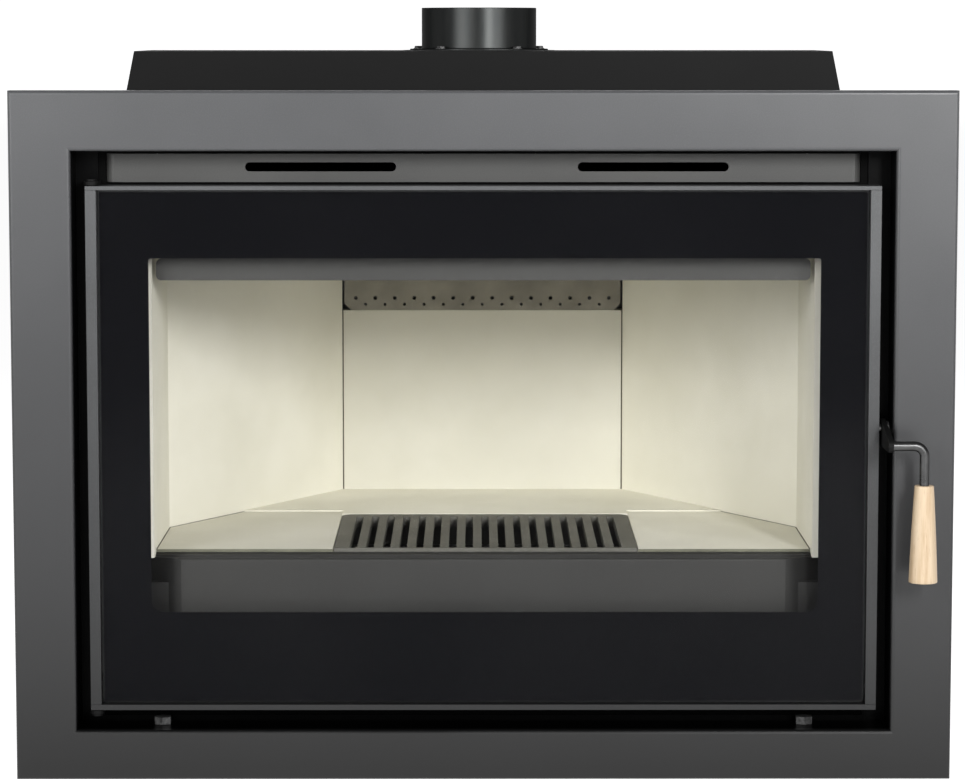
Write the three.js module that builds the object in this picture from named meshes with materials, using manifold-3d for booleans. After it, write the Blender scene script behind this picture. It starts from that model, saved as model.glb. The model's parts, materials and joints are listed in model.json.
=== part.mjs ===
// Built-in wood fireplace insert: a sheet-steel surround, a glazed door hung on its left side with a
// gravity latch lever, a firebox lined with pale insulating boards, a slotted cast grate over an ash pan,
// and a folded hood with a round flue collar. Millimetres, +Z up. The front faces -Y; the surround's
// face is the plane y = 0 of every dimension below, and z = 0 is the hearth.
import * as THREE from "three";
import { mergeVertices } from "three/addons/utils/BufferGeometryUtils.js";
import Module from "manifold-3d";

const wasm = await Module();
wasm.setup();

// ---------------------------------------------------------------- driving dimensions

const SEAT = 0.3; // clearance between two pieces that touch
const RUN = 1.0; // clearance round a piece that lifts or slides
const PIN_PLAY = 0.3; // radial play of a pin in its hole
const PAST = 1; // how far a cut reaches past the stock
const SLOT_END_FLAT = 0.01; // keeps the two arcs of a slot's end apart

// surround
const SURROUND_WIDTH = 1000;
const SURROUND_HEIGHT = 735.6;
const SURROUND_SHEET = 2.5;
const SURROUND_BEND = 4;
const BAND_SIDE = 65.1;
const BAND_TOP = 63.5;
const BAND_BOTTOM = 53.6;
const OUTER_RETURN_DEPTH = 28;
const RECESS_DEPTH = 56;
const LIP_SIDE = 24;
const LIP_TOP = 2;
const LIP_BOTTOM = 6;

// body
const PLATE_THICKNESS = 4;
const PLATE_SIDE_GAP = 6.4; // from the surround's recess to the front plate's edge
const CASING_AIR_GAP = 12.7; // between the firebox's steel walls and the casing
const CASING_SHEET = 2;
const CASING_BACK = 600;
const CASING_BOTTOM = 52;
const CASING_TOP = 662;
const INTAKE_COUNT = 9;
const INTAKE_PITCH = 70;
const INTAKE_LENGTH = 45;
const INTAKE_HEIGHT = 8;
const INTAKE_ABOVE_BASE = 40;

// hood
const HOOD_TOP = 776.3;
const HOOD_TOP_SET_IN = 25.5; // how far the hood's top lies inside the casing's side
const HOOD_TOP_FRONT = 85;
const HOOD_TOP_DEPTH = 200;
const HOOD_TUCK = 12; // how far the hood's rim drops inside the casing

// air outlet plate above the door
const OUTLET_OVERLAP = 2.5; // how far the plate reaches past the casing's side
const OUTLET_ABOVE_DOOR = 2.6;
const OUTLET_FRONT = 50;
const OUTLET_SHEET = 2;
const OUTLET_BEND = 9;
const OUTLET_BELOW_SURROUND = 2.5;
const OUTLET_SLOT_LENGTH = 161;
const OUTLET_SLOT_HEIGHT = 9.8;
const OUTLET_SLOT_CENTRES = [-173.5, 181];
const OUTLET_SLOT_LEVEL = 653.7;

// flue
const FLUE_DIAMETER = 126;
const FLUE_WALL = 3;
const FLUE_X = -4.5;
const FLUE_Y = 185;
const FLUE_TOP = 823;
const FLANGE_RADIUS = 76;
const FLANGE_THICKNESS = 4;
const GASKET_RADIUS = 84;
const GASKET_THICKNESS = 2;
const COLLAR_BOLT_COUNT = 5;
const COLLAR_BOLT_CIRCLE = 70.4;
const COLLAR_BOLT_RADIUS = 3;
const COLLAR_BOLT_HEAD_RADIUS = 5.6;
const COLLAR_BOLT_HEAD_HEIGHT = 4.5;

// firebox lining
const BOARD = 28;
const HEARTH_LEVEL = 238.4;
const FLOOR_BOARD = 33;
const BACK_FLOOR_RISE = 1.5;
const LINING_INSIDE_DOOR = 66.1; // from the door's edge in to the lining's face
const LINING_FRONT = 52;
const ANGLE_START_Y = 236;
const LINING_BACK_Y = 550;
const LINING_TAPER = 184.4; // how far each side closes in from the front to the back board
const BACK_BOARD_TOP = 459.4;
const BACK_FLOOR_JOINT_Y = 364;
const FIREBOX_STEEL = 4;
const FIREBOX_TOP = 636;
const OPENING_TOP = 575;
const BAFFLE_THICKNESS = 25;
const BAFFLE_BACK_LEVEL = 502;
const BAFFLE_FRONT_LEVEL = 562;
const BAFFLE_FRONT_Y = 165;
const SMOKE_PLATE_LEVEL = 606;
const SMOKE_PLATE_THICKNESS = 3;
const SMOKE_PLATE_BACK = 440;

// secondary air plate
const AIR_PLATE_SHEET = 2;
const AIR_PLATE_CHAMFER = 8;
const AIR_PLATE_END_GAP = 2.4;
const AIR_HOLE_PITCH = 23.7;
const AIR_UPPER_RADIUS = 2.5;
const AIR_UPPER_ABOVE_BOARD = 15;
const AIR_LOWER_RADIUS = 2;
const AIR_LOWER_ABOVE_BOARD = 7.3;

// air-wash deflector
const DEFLECTOR_SHEET = 3;
const DEFLECTOR_FRONT = 54;
const DEFLECTOR_BOTTOM = 532.2;
const DEFLECTOR_DEPTH = 55;
const DEFLECTOR_HEIGHT = 23.5;
const DEFLECTOR_END_GAP = 4.5; // to the lining at each end
const DEFLECTOR_CORNER = 6;
const DEFLECTOR_HANGER_SET_IN = 55;

// hearth lip
const LIP_FRONT = 50;
const LEDGE_DEPTH = 23;
const LEDGE_DROP = 2.9; // the ledge's back edge below the hearth
const LEDGE_SLOPE = 1.7;
const LEDGE_LENGTH = 9;
const LIP_GROOVE_DEPTH = 3;
const LIP_ROLL_DROP = 6.4; // top of the apron's rolled edge below the hearth
const LIP_ROLL_RADIUS = 3;
const HEARTH_LIP_SHEET = 3;
const HEARTH_LIP_BOTTOM = 158;
const HEARTH_LIP_BEND_IN = 29; // from the lining's face in to the bend where the apron turns back

// grate and ash
const GRATE_X = 2.5;
const GRATE_WIDTH = 330;
const GRATE_LENGTH = 261;
const GRATE_THICKNESS = 12;
const GRATE_PROUD = 1;
const GRATE_CORNER = 14;
const GRATE_SIDE_RIM = 8;
const GRATE_END_RIM = 4;
const GRATE_BACK_BAR = 20;
const GRATE_SLOTS = 17;
const GRATE_PITCH = 18;
const GRATE_SLOT_WIDTH = 8.6;
const ASH_HOLE_MARGIN = 15;
const ASH_BOX_HALF_WIDTH = 178;
const ASH_BOX_BOTTOM = 112;
const ASH_BOX_DEPTH = 285;
const ASH_BOX_SHEET = 3;
const ASH_PAN_SHEET = 2;
const ASH_PAN_HEIGHT = 62;
const ASH_PAN_TAB_WIDTH = 90;
const ASH_PAN_TAB_DEPTH = 8;

// levelling bolts
const LEVELLING_IN_OPENING = 88.9; // from the surround's recess in to the bolt
const LEVELLING_FRONT_Y = 37;
const LEVELLING_REAR_IN = 70; // from the casing's side in to the bolt
const LEVELLING_REAR_FROM_BACK = 55;
const LEVELLING_HEAD_RADIUS = 9.8;
const LEVELLING_HEAD_HEIGHT = 8;
const LEVELLING_SHANK_RADIUS = 6;

// door
const DOOR_SIDE_GAP = 13.8;
const DOOR_LOW_GAP = 19.3;
const DOOR_HIGH_GAP = 37.5;
const DOOR_FRONT = 15;
const DOOR_DEPTH = 35;
const STILE_WIDTH = 11.3;
const TOP_RAIL_HEIGHT = 4;
const BOTTOM_RAIL_HEIGHT = 5.7;
const LEDGE_FRONT = 30;
const LEDGE_THICKNESS = 3;
const SEAL_LEG_DEPTH = 15;
const SEAL_LEG_MARGIN = 4;
const GLASS_EDGE_GAP = 2.6;
const GLASS_FRONT = 20;
const GLASS_THICKNESS = 4;
const PRINT_THICKNESS = 0.3;
const BORDER_CORNER = 1;
const WINDOW_X = 1.4;
const WINDOW_PAST_LINING = 2.1;
const WINDOW_BOTTOM = 177.8;
const WINDOW_TOP = 557.7;
const WINDOW_BOTTOM_RADIUS = 12.7;
const WINDOW_TOP_RADIUS = 2.5;
const TAPE_WIDTH = 16;
const TAPE_SET_OUT = 1; // from the seal leg's inner edge
const ROPE_WIDTH = 18;

// hinges
const HINGE_Y = 24;
const HINGE_PIN_RADIUS = 4;
const HINGE_PIN_IN_DOOR = 38;
const HINGE_PIN_HEAD = 2;
const HINGE_BRACKET_THICKNESS = 4;
const HINGE_BRACKET_GAP = 1;
const HINGE_BRACKET_HALF_WIDTH = 8;

// latch and handle
const LEVER_GAP = 2.9; // between the door's edge and the lever
const LEVER_THICKNESS = 5;
const LEVER_PIVOT_Y = 27;
const LEVER_PIVOT_Z = 376.8;
const LEVER_PIVOT_RADIUS = 4;
const LEVER_BOLT_HEAD_RADIUS = 7;
const LEVER_BOLT_HEAD_HEIGHT = 3;
const LEVER_BOSS_RADIUS = 9.5;
const BOSS_ARC_START = -Math.PI / 5; // where the lever's outline meets the boss under and over the pivot
const BOSS_ARC_END = 0.62 * Math.PI;
const KEEPER_Y = 42;
const KEEPER_BELOW_PIVOT = 3.5;
const KEEPER_RADIUS = 3.5;
const KEEPER_BASE_RADIUS = 8;
const KEEPER_BASE_THICKNESS = 2;
const KEEPER_PAST_LEVER = 1;
const TONGUE_THICKNESS = 3;
const TONGUE_DROP = 0.8; // the tongue's top below the keeper pin, with the handle at rest
const ARM_DROP = 2.5; // the arm's top edge below the keeper pin
const ARM_HEIGHT = 10;
const ROD_RADIUS = 5;
const ROD_Y = -45;
const ROD_BELOW_PIVOT = 11.5;
const ROD_BEND = 12;
const ROD_EYE = 2; // steel left round the rod in the lever's nose
const ROD_ARC_START = 0.55 * Math.PI;
const ROD_ARC_END = 1.5 * Math.PI;
const ROD_STEPS = 28;
const GRIP_OUT = 38; // from the lever out to the grip's middle
const GRIP_BELOW_ROD = 41.5;
const GRIP_LENGTH = 104;
const GRIP_TOP_RADIUS = 10.2;
const GRIP_BOTTOM_RADIUS = 15.1;
const GRIP_EDGE = 2.5;
const ROD_IN_GRIP = 55;

// smoothness of round forms
const ROUND = 24;
const COARSE = 12;
const HOLE_SIDES = 8;
const BEND_STEPS = 5;

// ---------------------------------------------------------------- finishes

const finish = (color, roughness, metalness) => () =>
  new THREE.MeshStandardMaterial({ color, roughness, metalness });
const satinSteel = finish(0x57595b, 0.45, 0.35);
const darkSteel = finish(0x202122, 0.6, 0.3);
const doorSteel = finish(0x4c4e50, 0.4, 0.5);
const innerSteel = finish(0x46474a, 0.55, 0.4);
const bareSteel = finish(0x8b8c8c, 0.4, 0.9);
const castIron = finish(0x55564f, 0.75, 0.5);
const vermiculite = finish(0xe2dfcd, 0.95, 0);
const clearGlass = () => new THREE.MeshStandardMaterial({
  color: 0xdfe3e2, roughness: 0.05, metalness: 0, transparent: true, opacity: 0.25,
});
const blackEnamel = finish(0x0d0e11, 0.15, 0);
const ceramicRope = finish(0x2b2b2a, 0.95, 0);
const beech = finish(0xd9b78c, 0.5, 0);

// ---------------------------------------------------------------- geometry helpers

const v2 = (x, y) => new THREE.Vector2(x, y);

function solid(geometry) {
  const bare = geometry.clone();
  bare.deleteAttribute("normal");
  bare.deleteAttribute("uv");
  const merged = mergeVertices(bare, 1e-4);
  return new wasm.Manifold(new wasm.Mesh({
    numProp: 3,
    vertProperties: new Float32Array(merged.attributes.position.array),
    triVerts: new Uint32Array(merged.index.array),
  }));
}

function surface(manifold) {
  const mesh = manifold.getMesh();
  const geometry = new THREE.BufferGeometry();
  geometry.setAttribute("position", new THREE.BufferAttribute(new Float32Array(mesh.vertProperties), 3));
  geometry.setIndex(new THREE.BufferAttribute(new Uint32Array(mesh.triVerts), 1));
  geometry.computeVertexNormals();
  return geometry;
}

// joins or cuts a geometry with others, one after the other
const joined = (first, ...others) =>
  surface(others.reduce((sum, other) => sum.add(solid(other)), solid(first)));
const cut = (first, ...others) =>
  surface(others.reduce((rest, other) => rest.subtract(solid(other)), solid(first)));
const common = (first, second) => surface(solid(first).intersect(solid(second)));

function block(x0, x1, y0, y1, z0, z1) {
  const box = new THREE.BoxGeometry(x1 - x0, y1 - y0, z1 - z0);
  return box.translate((x0 + x1) / 2, (y0 + y1) / 2, (z0 + z1) / 2);
}

const outline = (points) => new THREE.Shape(points.map(([x, y]) => v2(x, y)));

function extrude(shape, depth) {
  return new THREE.ExtrudeGeometry(shape, { depth, bevelEnabled: false, curveSegments: BEND_STEPS });
}

// a plan outline (x, y) raised from z0 to z1
const raised = (shape, z0, z1) => extrude(shape, z1 - z0).translate(0, 0, z0);

// a side outline (y, z) drawn along X from x0 to x1
function alongX(shape, x0, x1) {
  const basis = new THREE.Matrix4().makeBasis(
    new THREE.Vector3(0, 1, 0), new THREE.Vector3(0, 0, 1), new THREE.Vector3(1, 0, 0));
  return extrude(shape, x1 - x0).applyMatrix4(basis).translate(x0, 0, 0);
}

// a front outline (x, z) drawn along Y from y0 to y1
function alongY(shape, y0, y1) {
  const basis = new THREE.Matrix4().makeBasis(
    new THREE.Vector3(1, 0, 0), new THREE.Vector3(0, 0, 1), new THREE.Vector3(0, -1, 0));
  return extrude(shape, y1 - y0).applyMatrix4(basis).translate(0, y1, 0);
}

// round bars along each axis
function rodZ(radius, x, y, z0, z1, sides = ROUND) {
  const bar = new THREE.CylinderGeometry(radius, radius, z1 - z0, sides).rotateX(Math.PI / 2);
  return bar.translate(x, y, (z0 + z1) / 2);
}
function rodX(radius, y, z, x0, x1, sides = ROUND) {
  const bar = new THREE.CylinderGeometry(radius, radius, x1 - x0, sides).rotateZ(Math.PI / 2);
  return bar.translate((x0 + x1) / 2, y, z);
}
function rodY(radius, x, z, y0, y1, sides = ROUND) {
  return new THREE.CylinderGeometry(radius, radius, y1 - y0, sides).translate(x, (y0 + y1) / 2, z);
}

// a rectangle with its own radius at the top and the bottom corners
function roundedRectangle(x0, x1, z0, z1, bottomRadius, topRadius = bottomRadius) {
  const shape = new THREE.Shape();
  shape.moveTo(x0 + bottomRadius, z0);
  shape.lineTo(x1 - bottomRadius, z0);
  shape.absarc(x1 - bottomRadius, z0 + bottomRadius, bottomRadius, -Math.PI / 2, 0);
  shape.lineTo(x1, z1 - topRadius);
  shape.absarc(x1 - topRadius, z1 - topRadius, topRadius, 0, Math.PI / 2);
  shape.lineTo(x0 + topRadius, z1);
  shape.absarc(x0 + topRadius, z1 - topRadius, topRadius, Math.PI / 2, Math.PI);
  shape.lineTo(x0, z0 + bottomRadius);
  shape.absarc(x0 + bottomRadius, z0 + bottomRadius, bottomRadius, Math.PI, 1.5 * Math.PI);
  return shape;
}

// rounds the inner corners of an open line of points
function rounded(points, radius) {
  const path = [points[0]];
  for (let i = 1; i < points.length - 1; i += 1) {
    const [before, corner, after] = [points[i - 1], points[i], points[i + 1]];
    const back = before.clone().sub(corner).normalize();
    const on = after.clone().sub(corner).normalize();
    const half = Math.acos(THREE.MathUtils.clamp(back.dot(on), -1, 1)) / 2;
    const reach = radius / Math.tan(half);
    const centre = corner.clone().addScaledVector(back.clone().add(on).normalize(), radius / Math.sin(half));
    const from = corner.clone().addScaledVector(back, reach).sub(centre);
    const to = corner.clone().addScaledVector(on, reach).sub(centre);
    const turn = Math.atan2(from.x * to.y - from.y * to.x, from.dot(to));
    for (let step = 0; step <= BEND_STEPS; step += 1) {
      path.push(from.clone().rotateAround(v2(0, 0), (turn * step) / BEND_STEPS).add(centre));
    }
  }
  path.push(points[points.length - 1]);
  return path;
}

// a folded sheet seen end on: the line of its first face and the same line set off to its left
function foldedSheet(points, thickness, radius = 0) {
  const line = points.map(([x, y]) => v2(x, y));
  const path = radius > 0 ? rounded(line, radius) : line;
  const leftOf = (from, to) => v2(from.y - to.y, to.x - from.x).normalize();
  const other = path.map((point, i) => {
    const into = leftOf(path[Math.max(i - 1, 0)], path[Math.max(i, 1)]);
    const out = leftOf(path[Math.min(i, path.length - 2)], path[Math.min(i + 1, path.length - 1)]);
    const middle = into.clone().add(out).normalize();
    return point.clone().addScaledVector(middle, thickness / middle.dot(into));
  });
  return new THREE.Shape([...path, ...other.reverse()]);
}

// flips a closed surface whose faces point inwards
function facingOut(positions, index) {
  let volume = 0;
  for (let i = 0; i < index.length; i += 3) {
    const [a, b, c] = [0, 1, 2].map((k) => positions[index[i + k]]);
    volume += a.dot(b.clone().cross(c));
  }
  const order = volume < 0 ? index.slice().reverse() : index;
  const geometry = new THREE.BufferGeometry().setFromPoints(positions);
  geometry.setIndex(order);
  geometry.computeVertexNormals();
  return geometry;
}

// a mitred frame: each ring is a rectangle {x, z0, z1} at depth y, and the rings close on themselves
function mitredFrame(rings) {
  const positions = rings.flatMap(({ x, z0, z1, y }) => [
    new THREE.Vector3(-x, y, z0), new THREE.Vector3(x, y, z0),
    new THREE.Vector3(x, y, z1), new THREE.Vector3(-x, y, z1),
  ]);
  const index = [];
  rings.forEach((ring, i) => {
    const next = (i + 1) % rings.length;
    for (let corner = 0; corner < 4; corner += 1) {
      const turned = (corner + 1) % 4;
      index.push(4 * i + corner, 4 * i + turned, 4 * next + turned);
      index.push(4 * i + corner, 4 * next + turned, 4 * next + corner);
    }
  });
  return facingOut(positions, index);
}

// a closed form between two convex loops of points
function loft(lower, upper) {
  const count = lower.length;
  const index = [];
  for (let i = 0; i < count; i += 1) {
    const next = (i + 1) % count;
    index.push(i, next, count + next, i, count + next, count + i);
  }
  for (let i = 1; i < count - 1; i += 1) {
    index.push(0, i + 1, i, count, count + i, count + i + 1);
  }
  return facingOut([...lower, ...upper], index);
}

const rectangleLoop = (x, y0, y1, z) => [
  new THREE.Vector3(-x, y0, z), new THREE.Vector3(x, y0, z),
  new THREE.Vector3(x, y1, z), new THREE.Vector3(-x, y1, z),
];

// a turned form about Z from (radius, z) pairs, listed from the bottom up its outside
const turned = (profile, sides = ROUND) =>
  new THREE.LatheGeometry(profile.map(([r, z]) => v2(r, z)), sides).rotateX(Math.PI / 2);

// a hexagon-headed bolt standing on z = 0, its shank below
function hexBolt(headRadius, headHeight, shankRadius, shankLength) {
  const head = rodZ(headRadius, 0, 0, 0, headHeight, 6);
  const shank = rodZ(shankRadius, 0, 0, -shankLength, headHeight / 2, COARSE);
  return joined(head, shank);
}

// ---------------------------------------------------------------- scene graph

const insert = new THREE.Group();
const casing = new THREE.Group();
const door = new THREE.Group();
const latch = new THREE.Group();
const hearth = new THREE.Group();
insert.add(casing, door, hearth);
door.add(latch);

function place(parent, name, geometry, material, position = [0, 0, 0]) {
  const mesh = new THREE.Mesh(geometry, material());
  mesh.name = name;
  mesh.position.set(...position);
  parent.add(mesh);
  return mesh;
}

const SIDES = [["left", -1], ["right", 1]];
const mirroredX = (points, side) => points.map(([x, y]) => [side * x, y]);

// ---------------------------------------------------------------- surround and body

const opening = {
  x: SURROUND_WIDTH / 2 - BAND_SIDE,
  z0: BAND_BOTTOM,
  z1: SURROUND_HEIGHT - BAND_TOP,
};
const doorHalf = opening.x - DOOR_SIDE_GAP;
const doorBottom = opening.z0 + DOOR_LOW_GAP;
const doorTop = opening.z1 - DOOR_HIGH_GAP;
const liningHalf = doorHalf - LINING_INSIDE_DOOR;
const liningBackHalf = liningHalf - LINING_TAPER;
const liningOuter = liningHalf + BOARD;
const openingHalf = liningOuter + SEAT;
const casingHalf = openingHalf + FIREBOX_STEEL + CASING_AIR_GAP;
const plateHalf = opening.x - PLATE_SIDE_GAP;
const plateTop = doorTop + OUTLET_ABOVE_DOOR;
const outletHalf = casingHalf + OUTLET_OVERLAP;
const outletTop = opening.z1 - OUTLET_BELOW_SURROUND - LIP_TOP;
const levellingX = opening.x - LEVELLING_IN_OPENING;
const plateFront = RECESS_DEPTH + SEAT;
const plateBack = plateFront + PLATE_THICKNESS;
const bodyFront = plateBack + SEAT;

function surroundFrame() {
  const outer = (inset, y) => ({ x: SURROUND_WIDTH / 2 - inset, z0: inset, z1: SURROUND_HEIGHT - inset, y });
  const inner = (out, y) => ({ x: opening.x + out, z0: opening.z0 - out, z1: opening.z1 + out, y });
  const lip = (y) => ({ x: opening.x - LIP_SIDE, z0: opening.z0 + LIP_BOTTOM, z1: opening.z1 - LIP_TOP, y });
  const bend = (ring, radius, centre, start) => Array.from({ length: BEND_STEPS + 1 }, (_, step) => {
    const angle = start + (step * Math.PI) / 2 / BEND_STEPS;
    return ring(centre - radius * Math.cos(angle), centre - radius * Math.sin(angle));
  });
  const inside = SURROUND_BEND - SURROUND_SHEET;
  return mitredFrame([
    outer(0, OUTER_RETURN_DEPTH),
    ...bend(outer, SURROUND_BEND, SURROUND_BEND, 0),
    ...bend(inner, SURROUND_BEND, SURROUND_BEND, 0).reverse(),
    inner(0, RECESS_DEPTH - SURROUND_SHEET),
    lip(RECESS_DEPTH - SURROUND_SHEET),
    lip(RECESS_DEPTH),
    inner(SURROUND_SHEET, RECESS_DEPTH),
    ...bend(inner, inside, SURROUND_BEND, 0),
    ...bend(outer, inside, SURROUND_BEND, 0).reverse(),
    outer(SURROUND_SHEET, OUTER_RETURN_DEPTH),
  ]);
}

const frontBoltHoles = SIDES.map(([, side]) =>
  rodZ(LEVELLING_SHANK_RADIUS + PIN_PLAY, side * levellingX, LEVELLING_FRONT_Y,
    0, BAND_BOTTOM + PAST, COARSE));
place(casing, "surround_frame", cut(surroundFrame(), ...frontBoltHoles), satinSteel);

const floorSteelTop = HEARTH_LEVEL - FLOOR_BOARD - SEAT;
const ashMouthHalf = ASH_BOX_HALF_WIDTH - ASH_BOX_SHEET;
const ashMouthBottom = ASH_BOX_BOTTOM + ASH_BOX_SHEET;

function frontPlate() {
  const plate = block(-plateHalf, plateHalf, plateFront, plateBack, CASING_BOTTOM, opening.z1);
  const outletNotch = block(-outletHalf - SEAT, outletHalf + SEAT, plateFront - PAST, plateBack + PAST,
    plateTop, opening.z1 + PAST);
  const mouth = outline([
    [-ashMouthHalf, ashMouthBottom], [ashMouthHalf, ashMouthBottom], [ashMouthHalf, floorSteelTop],
    [openingHalf, floorSteelTop], [openingHalf, OPENING_TOP], [-openingHalf, OPENING_TOP],
    [-openingHalf, floorSteelTop], [-ashMouthHalf, floorSteelTop],
  ]);
  return cut(plate, outletNotch, alongY(mouth, plateFront - PAST, plateBack + PAST));
}
place(casing, "front_frame_plate", frontPlate(), darkSteel);

const outletBottom = plateTop + SEAT;
const hoodFront = bodyFront;
function outletPlate() {
  const half = outletHalf;
  const line = [[half, plateBack], [half, OUTLET_FRONT], [-half, OUTLET_FRONT], [-half, plateBack]];
  const strip = raised(foldedSheet(line, -OUTLET_SHEET, OUTLET_BEND), outletBottom, outletTop);
  const slotZ0 = OUTLET_SLOT_LEVEL - OUTLET_SLOT_HEIGHT / 2;
  const slots = OUTLET_SLOT_CENTRES.map((centre) => alongY(
    roundedRectangle(centre - OUTLET_SLOT_LENGTH / 2, centre + OUTLET_SLOT_LENGTH / 2,
      slotZ0, slotZ0 + OUTLET_SLOT_HEIGHT, OUTLET_SLOT_HEIGHT / 2 - SLOT_END_FLAT),
    OUTLET_FRONT - PAST, OUTLET_FRONT + OUTLET_SHEET + PAST));
  return cut(strip, ...slots);
}
place(casing, "air_outlet_plate", outletPlate(), innerSteel);

const casingInner = casingHalf - CASING_SHEET;
const backFront = CASING_BACK - CASING_SHEET;
for (const [name, side] of SIDES) {
  const line = mirroredX([
    [plateHalf, bodyFront], [casingInner, bodyFront], [casingInner, CASING_BACK],
  ], side);
  const wall = raised(foldedSheet(line, -side * CASING_SHEET), CASING_BOTTOM, opening.z1);
  // only the front flange rises past the casing's top, to close the corner beside the outlet plate
  const aboveSide = block(-casingHalf - PAST, casingHalf + PAST, bodyFront + CASING_SHEET, CASING_BACK + PAST,
    CASING_TOP, opening.z1 + PAST);
  place(casing, `casing_${name}`, cut(wall, aboveSide), darkSteel);
}

function casingBack() {
  const half = casingInner - SEAT;
  const panel = block(-half, half, backFront, CASING_BACK, CASING_BOTTOM, CASING_TOP);
  const slots = Array.from({ length: INTAKE_COUNT }, (_, i) => {
    const x = (i - (INTAKE_COUNT - 1) / 2) * INTAKE_PITCH;
    const z = CASING_BOTTOM + INTAKE_ABOVE_BASE;
    return alongY(roundedRectangle(x - INTAKE_LENGTH / 2, x + INTAKE_LENGTH / 2, z, z + INTAKE_HEIGHT,
      INTAKE_HEIGHT / 2 - SLOT_END_FLAT), backFront - PAST, CASING_BACK + PAST);
  });
  return cut(panel, ...slots);
}
place(casing, "casing_back", casingBack(), darkSteel);

const baseTop = CASING_BOTTOM + CASING_SHEET;
const levellingRearX = casingHalf - LEVELLING_REAR_IN;
const levellingRearY = CASING_BACK - LEVELLING_REAR_FROM_BACK;
const rearBoltHoles = SIDES.map(([, side]) =>
  rodZ(LEVELLING_SHANK_RADIUS + PIN_PLAY, side * levellingRearX, levellingRearY, 0, baseTop + PAST, COARSE));
place(casing, "casing_base", cut(
  block(-casingInner + SEAT, casingInner - SEAT, bodyFront, backFront - SEAT, CASING_BOTTOM, baseTop),
  ...rearBoltHoles), darkSteel);

for (const [name, side] of SIDES) {
  const bolt = (shank) =>
    hexBolt(LEVELLING_HEAD_RADIUS, LEVELLING_HEAD_HEIGHT, LEVELLING_SHANK_RADIUS, shank);
  const frontSeat = BAND_BOTTOM + SEAT;
  const rearSeat = baseTop + SEAT;
  place(casing, `levelling_bolt_front_${name}`, bolt(frontSeat), bareSteel,
    [side * levellingX, LEVELLING_FRONT_Y, frontSeat]);
  place(casing, `levelling_bolt_rear_${name}`, bolt(rearSeat), bareSteel,
    [side * levellingRearX, levellingRearY, rearSeat]);
}

// ---------------------------------------------------------------- firebox steel

// the lining turns from the straight side returns to the boards that run in to the back board
const angleRun = v2(liningHalf - liningBackHalf, LINING_BACK_Y - ANGLE_START_Y);
const angleAlong = v2(-angleRun.x, angleRun.y).normalize();
const angleOut = v2(angleAlong.y, -angleAlong.x);
// the point at depth y on the angled lining's face set out by a distance
function angledFace(distance, y) {
  const start = v2(liningHalf, ANGLE_START_Y).addScaledVector(angleOut, distance);
  return start.x + ((y - start.y) * angleAlong.x) / angleAlong.y;
}
// the depth at which that face reaches a half width
function angledDepth(distance, x) {
  const start = v2(liningHalf, ANGLE_START_Y).addScaledVector(angleOut, distance);
  return start.y + ((x - start.x) * angleAlong.y) / angleAlong.x;
}

const liningBackOuter = LINING_BACK_Y + BOARD;
const wallSet = BOARD + SEAT;
const steelBack = liningBackOuter + SEAT;
const wallInner = liningOuter + SEAT;
const wallFoot = baseTop + SEAT;
const wallTop = FIREBOX_TOP - SEAT;
for (const [name, side] of SIDES) {
  const line = mirroredX([
    [wallInner, bodyFront], [wallInner, angledDepth(wallSet, wallInner)],
    [angledFace(wallSet, steelBack - SEAT), steelBack - SEAT],
  ], side);
  const wall = foldedSheet(line, -side * FIREBOX_STEEL);
  const behind = block(-SURROUND_WIDTH, SURROUND_WIDTH, steelBack - SEAT, CASING_BACK * 2,
    0, SURROUND_HEIGHT);
  place(casing, `firebox_wall_${name}`, cut(raised(wall, wallFoot, wallTop), behind), innerSteel);
}
const backHalf = angledFace(wallSet + FIREBOX_STEEL, steelBack);
place(casing, "firebox_wall_back",
  block(-backHalf, backHalf, steelBack, steelBack + FIREBOX_STEEL, wallFoot, wallTop), innerSteel);

// plan of a plate that fills the firebox between its walls, from one depth to another
function fireboxPlan(y0, y1, gap) {
  const half = wallInner - gap;
  const turn = angledDepth(wallSet - gap, half);
  const right = [[half, y0], [half, Math.min(turn, y1)]];
  if (y1 > turn) {
    right.push([angledFace(wallSet - gap, y1), y1]);
  }
  const left = right.map(([x, y]) => [-x, y]).reverse();
  return outline([...right, ...left]);
}

const floorSteelBottom = floorSteelTop - FIREBOX_STEEL;
const ledgeBack = LIP_FRONT + LEDGE_DEPTH;
const grateFront = ledgeBack + RUN;
const grateBack = grateFront + GRATE_LENGTH;
const grateLeft = GRATE_X - GRATE_WIDTH / 2;
const grateRight = GRATE_X + GRATE_WIDTH / 2;
const ashHole = block(grateLeft + ASH_HOLE_MARGIN, grateRight - ASH_HOLE_MARGIN,
  grateFront + ASH_HOLE_MARGIN, grateBack - ASH_HOLE_MARGIN, floorSteelBottom - PAST, floorSteelTop + PAST);
place(casing, "firebox_floor_plate",
  cut(raised(fireboxPlan(bodyFront, steelBack - SEAT, SEAT), floorSteelBottom, floorSteelTop), ashHole),
  innerSteel);

const flueHole = (z0, z1) => rodZ(FLUE_DIAMETER / 2 + SEAT, FLUE_X, FLUE_Y, z0, z1, 2 * ROUND);
const topPlan = fireboxPlan(bodyFront, steelBack + FIREBOX_STEEL, -FIREBOX_STEEL);
place(casing, "firebox_top_plate",
  cut(raised(topPlan, FIREBOX_TOP, FIREBOX_TOP + FIREBOX_STEEL), flueHole(FIREBOX_TOP - PAST,
    FIREBOX_TOP + FIREBOX_STEEL + PAST)), innerSteel);

// ---------------------------------------------------------------- hood and flue collar

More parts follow.
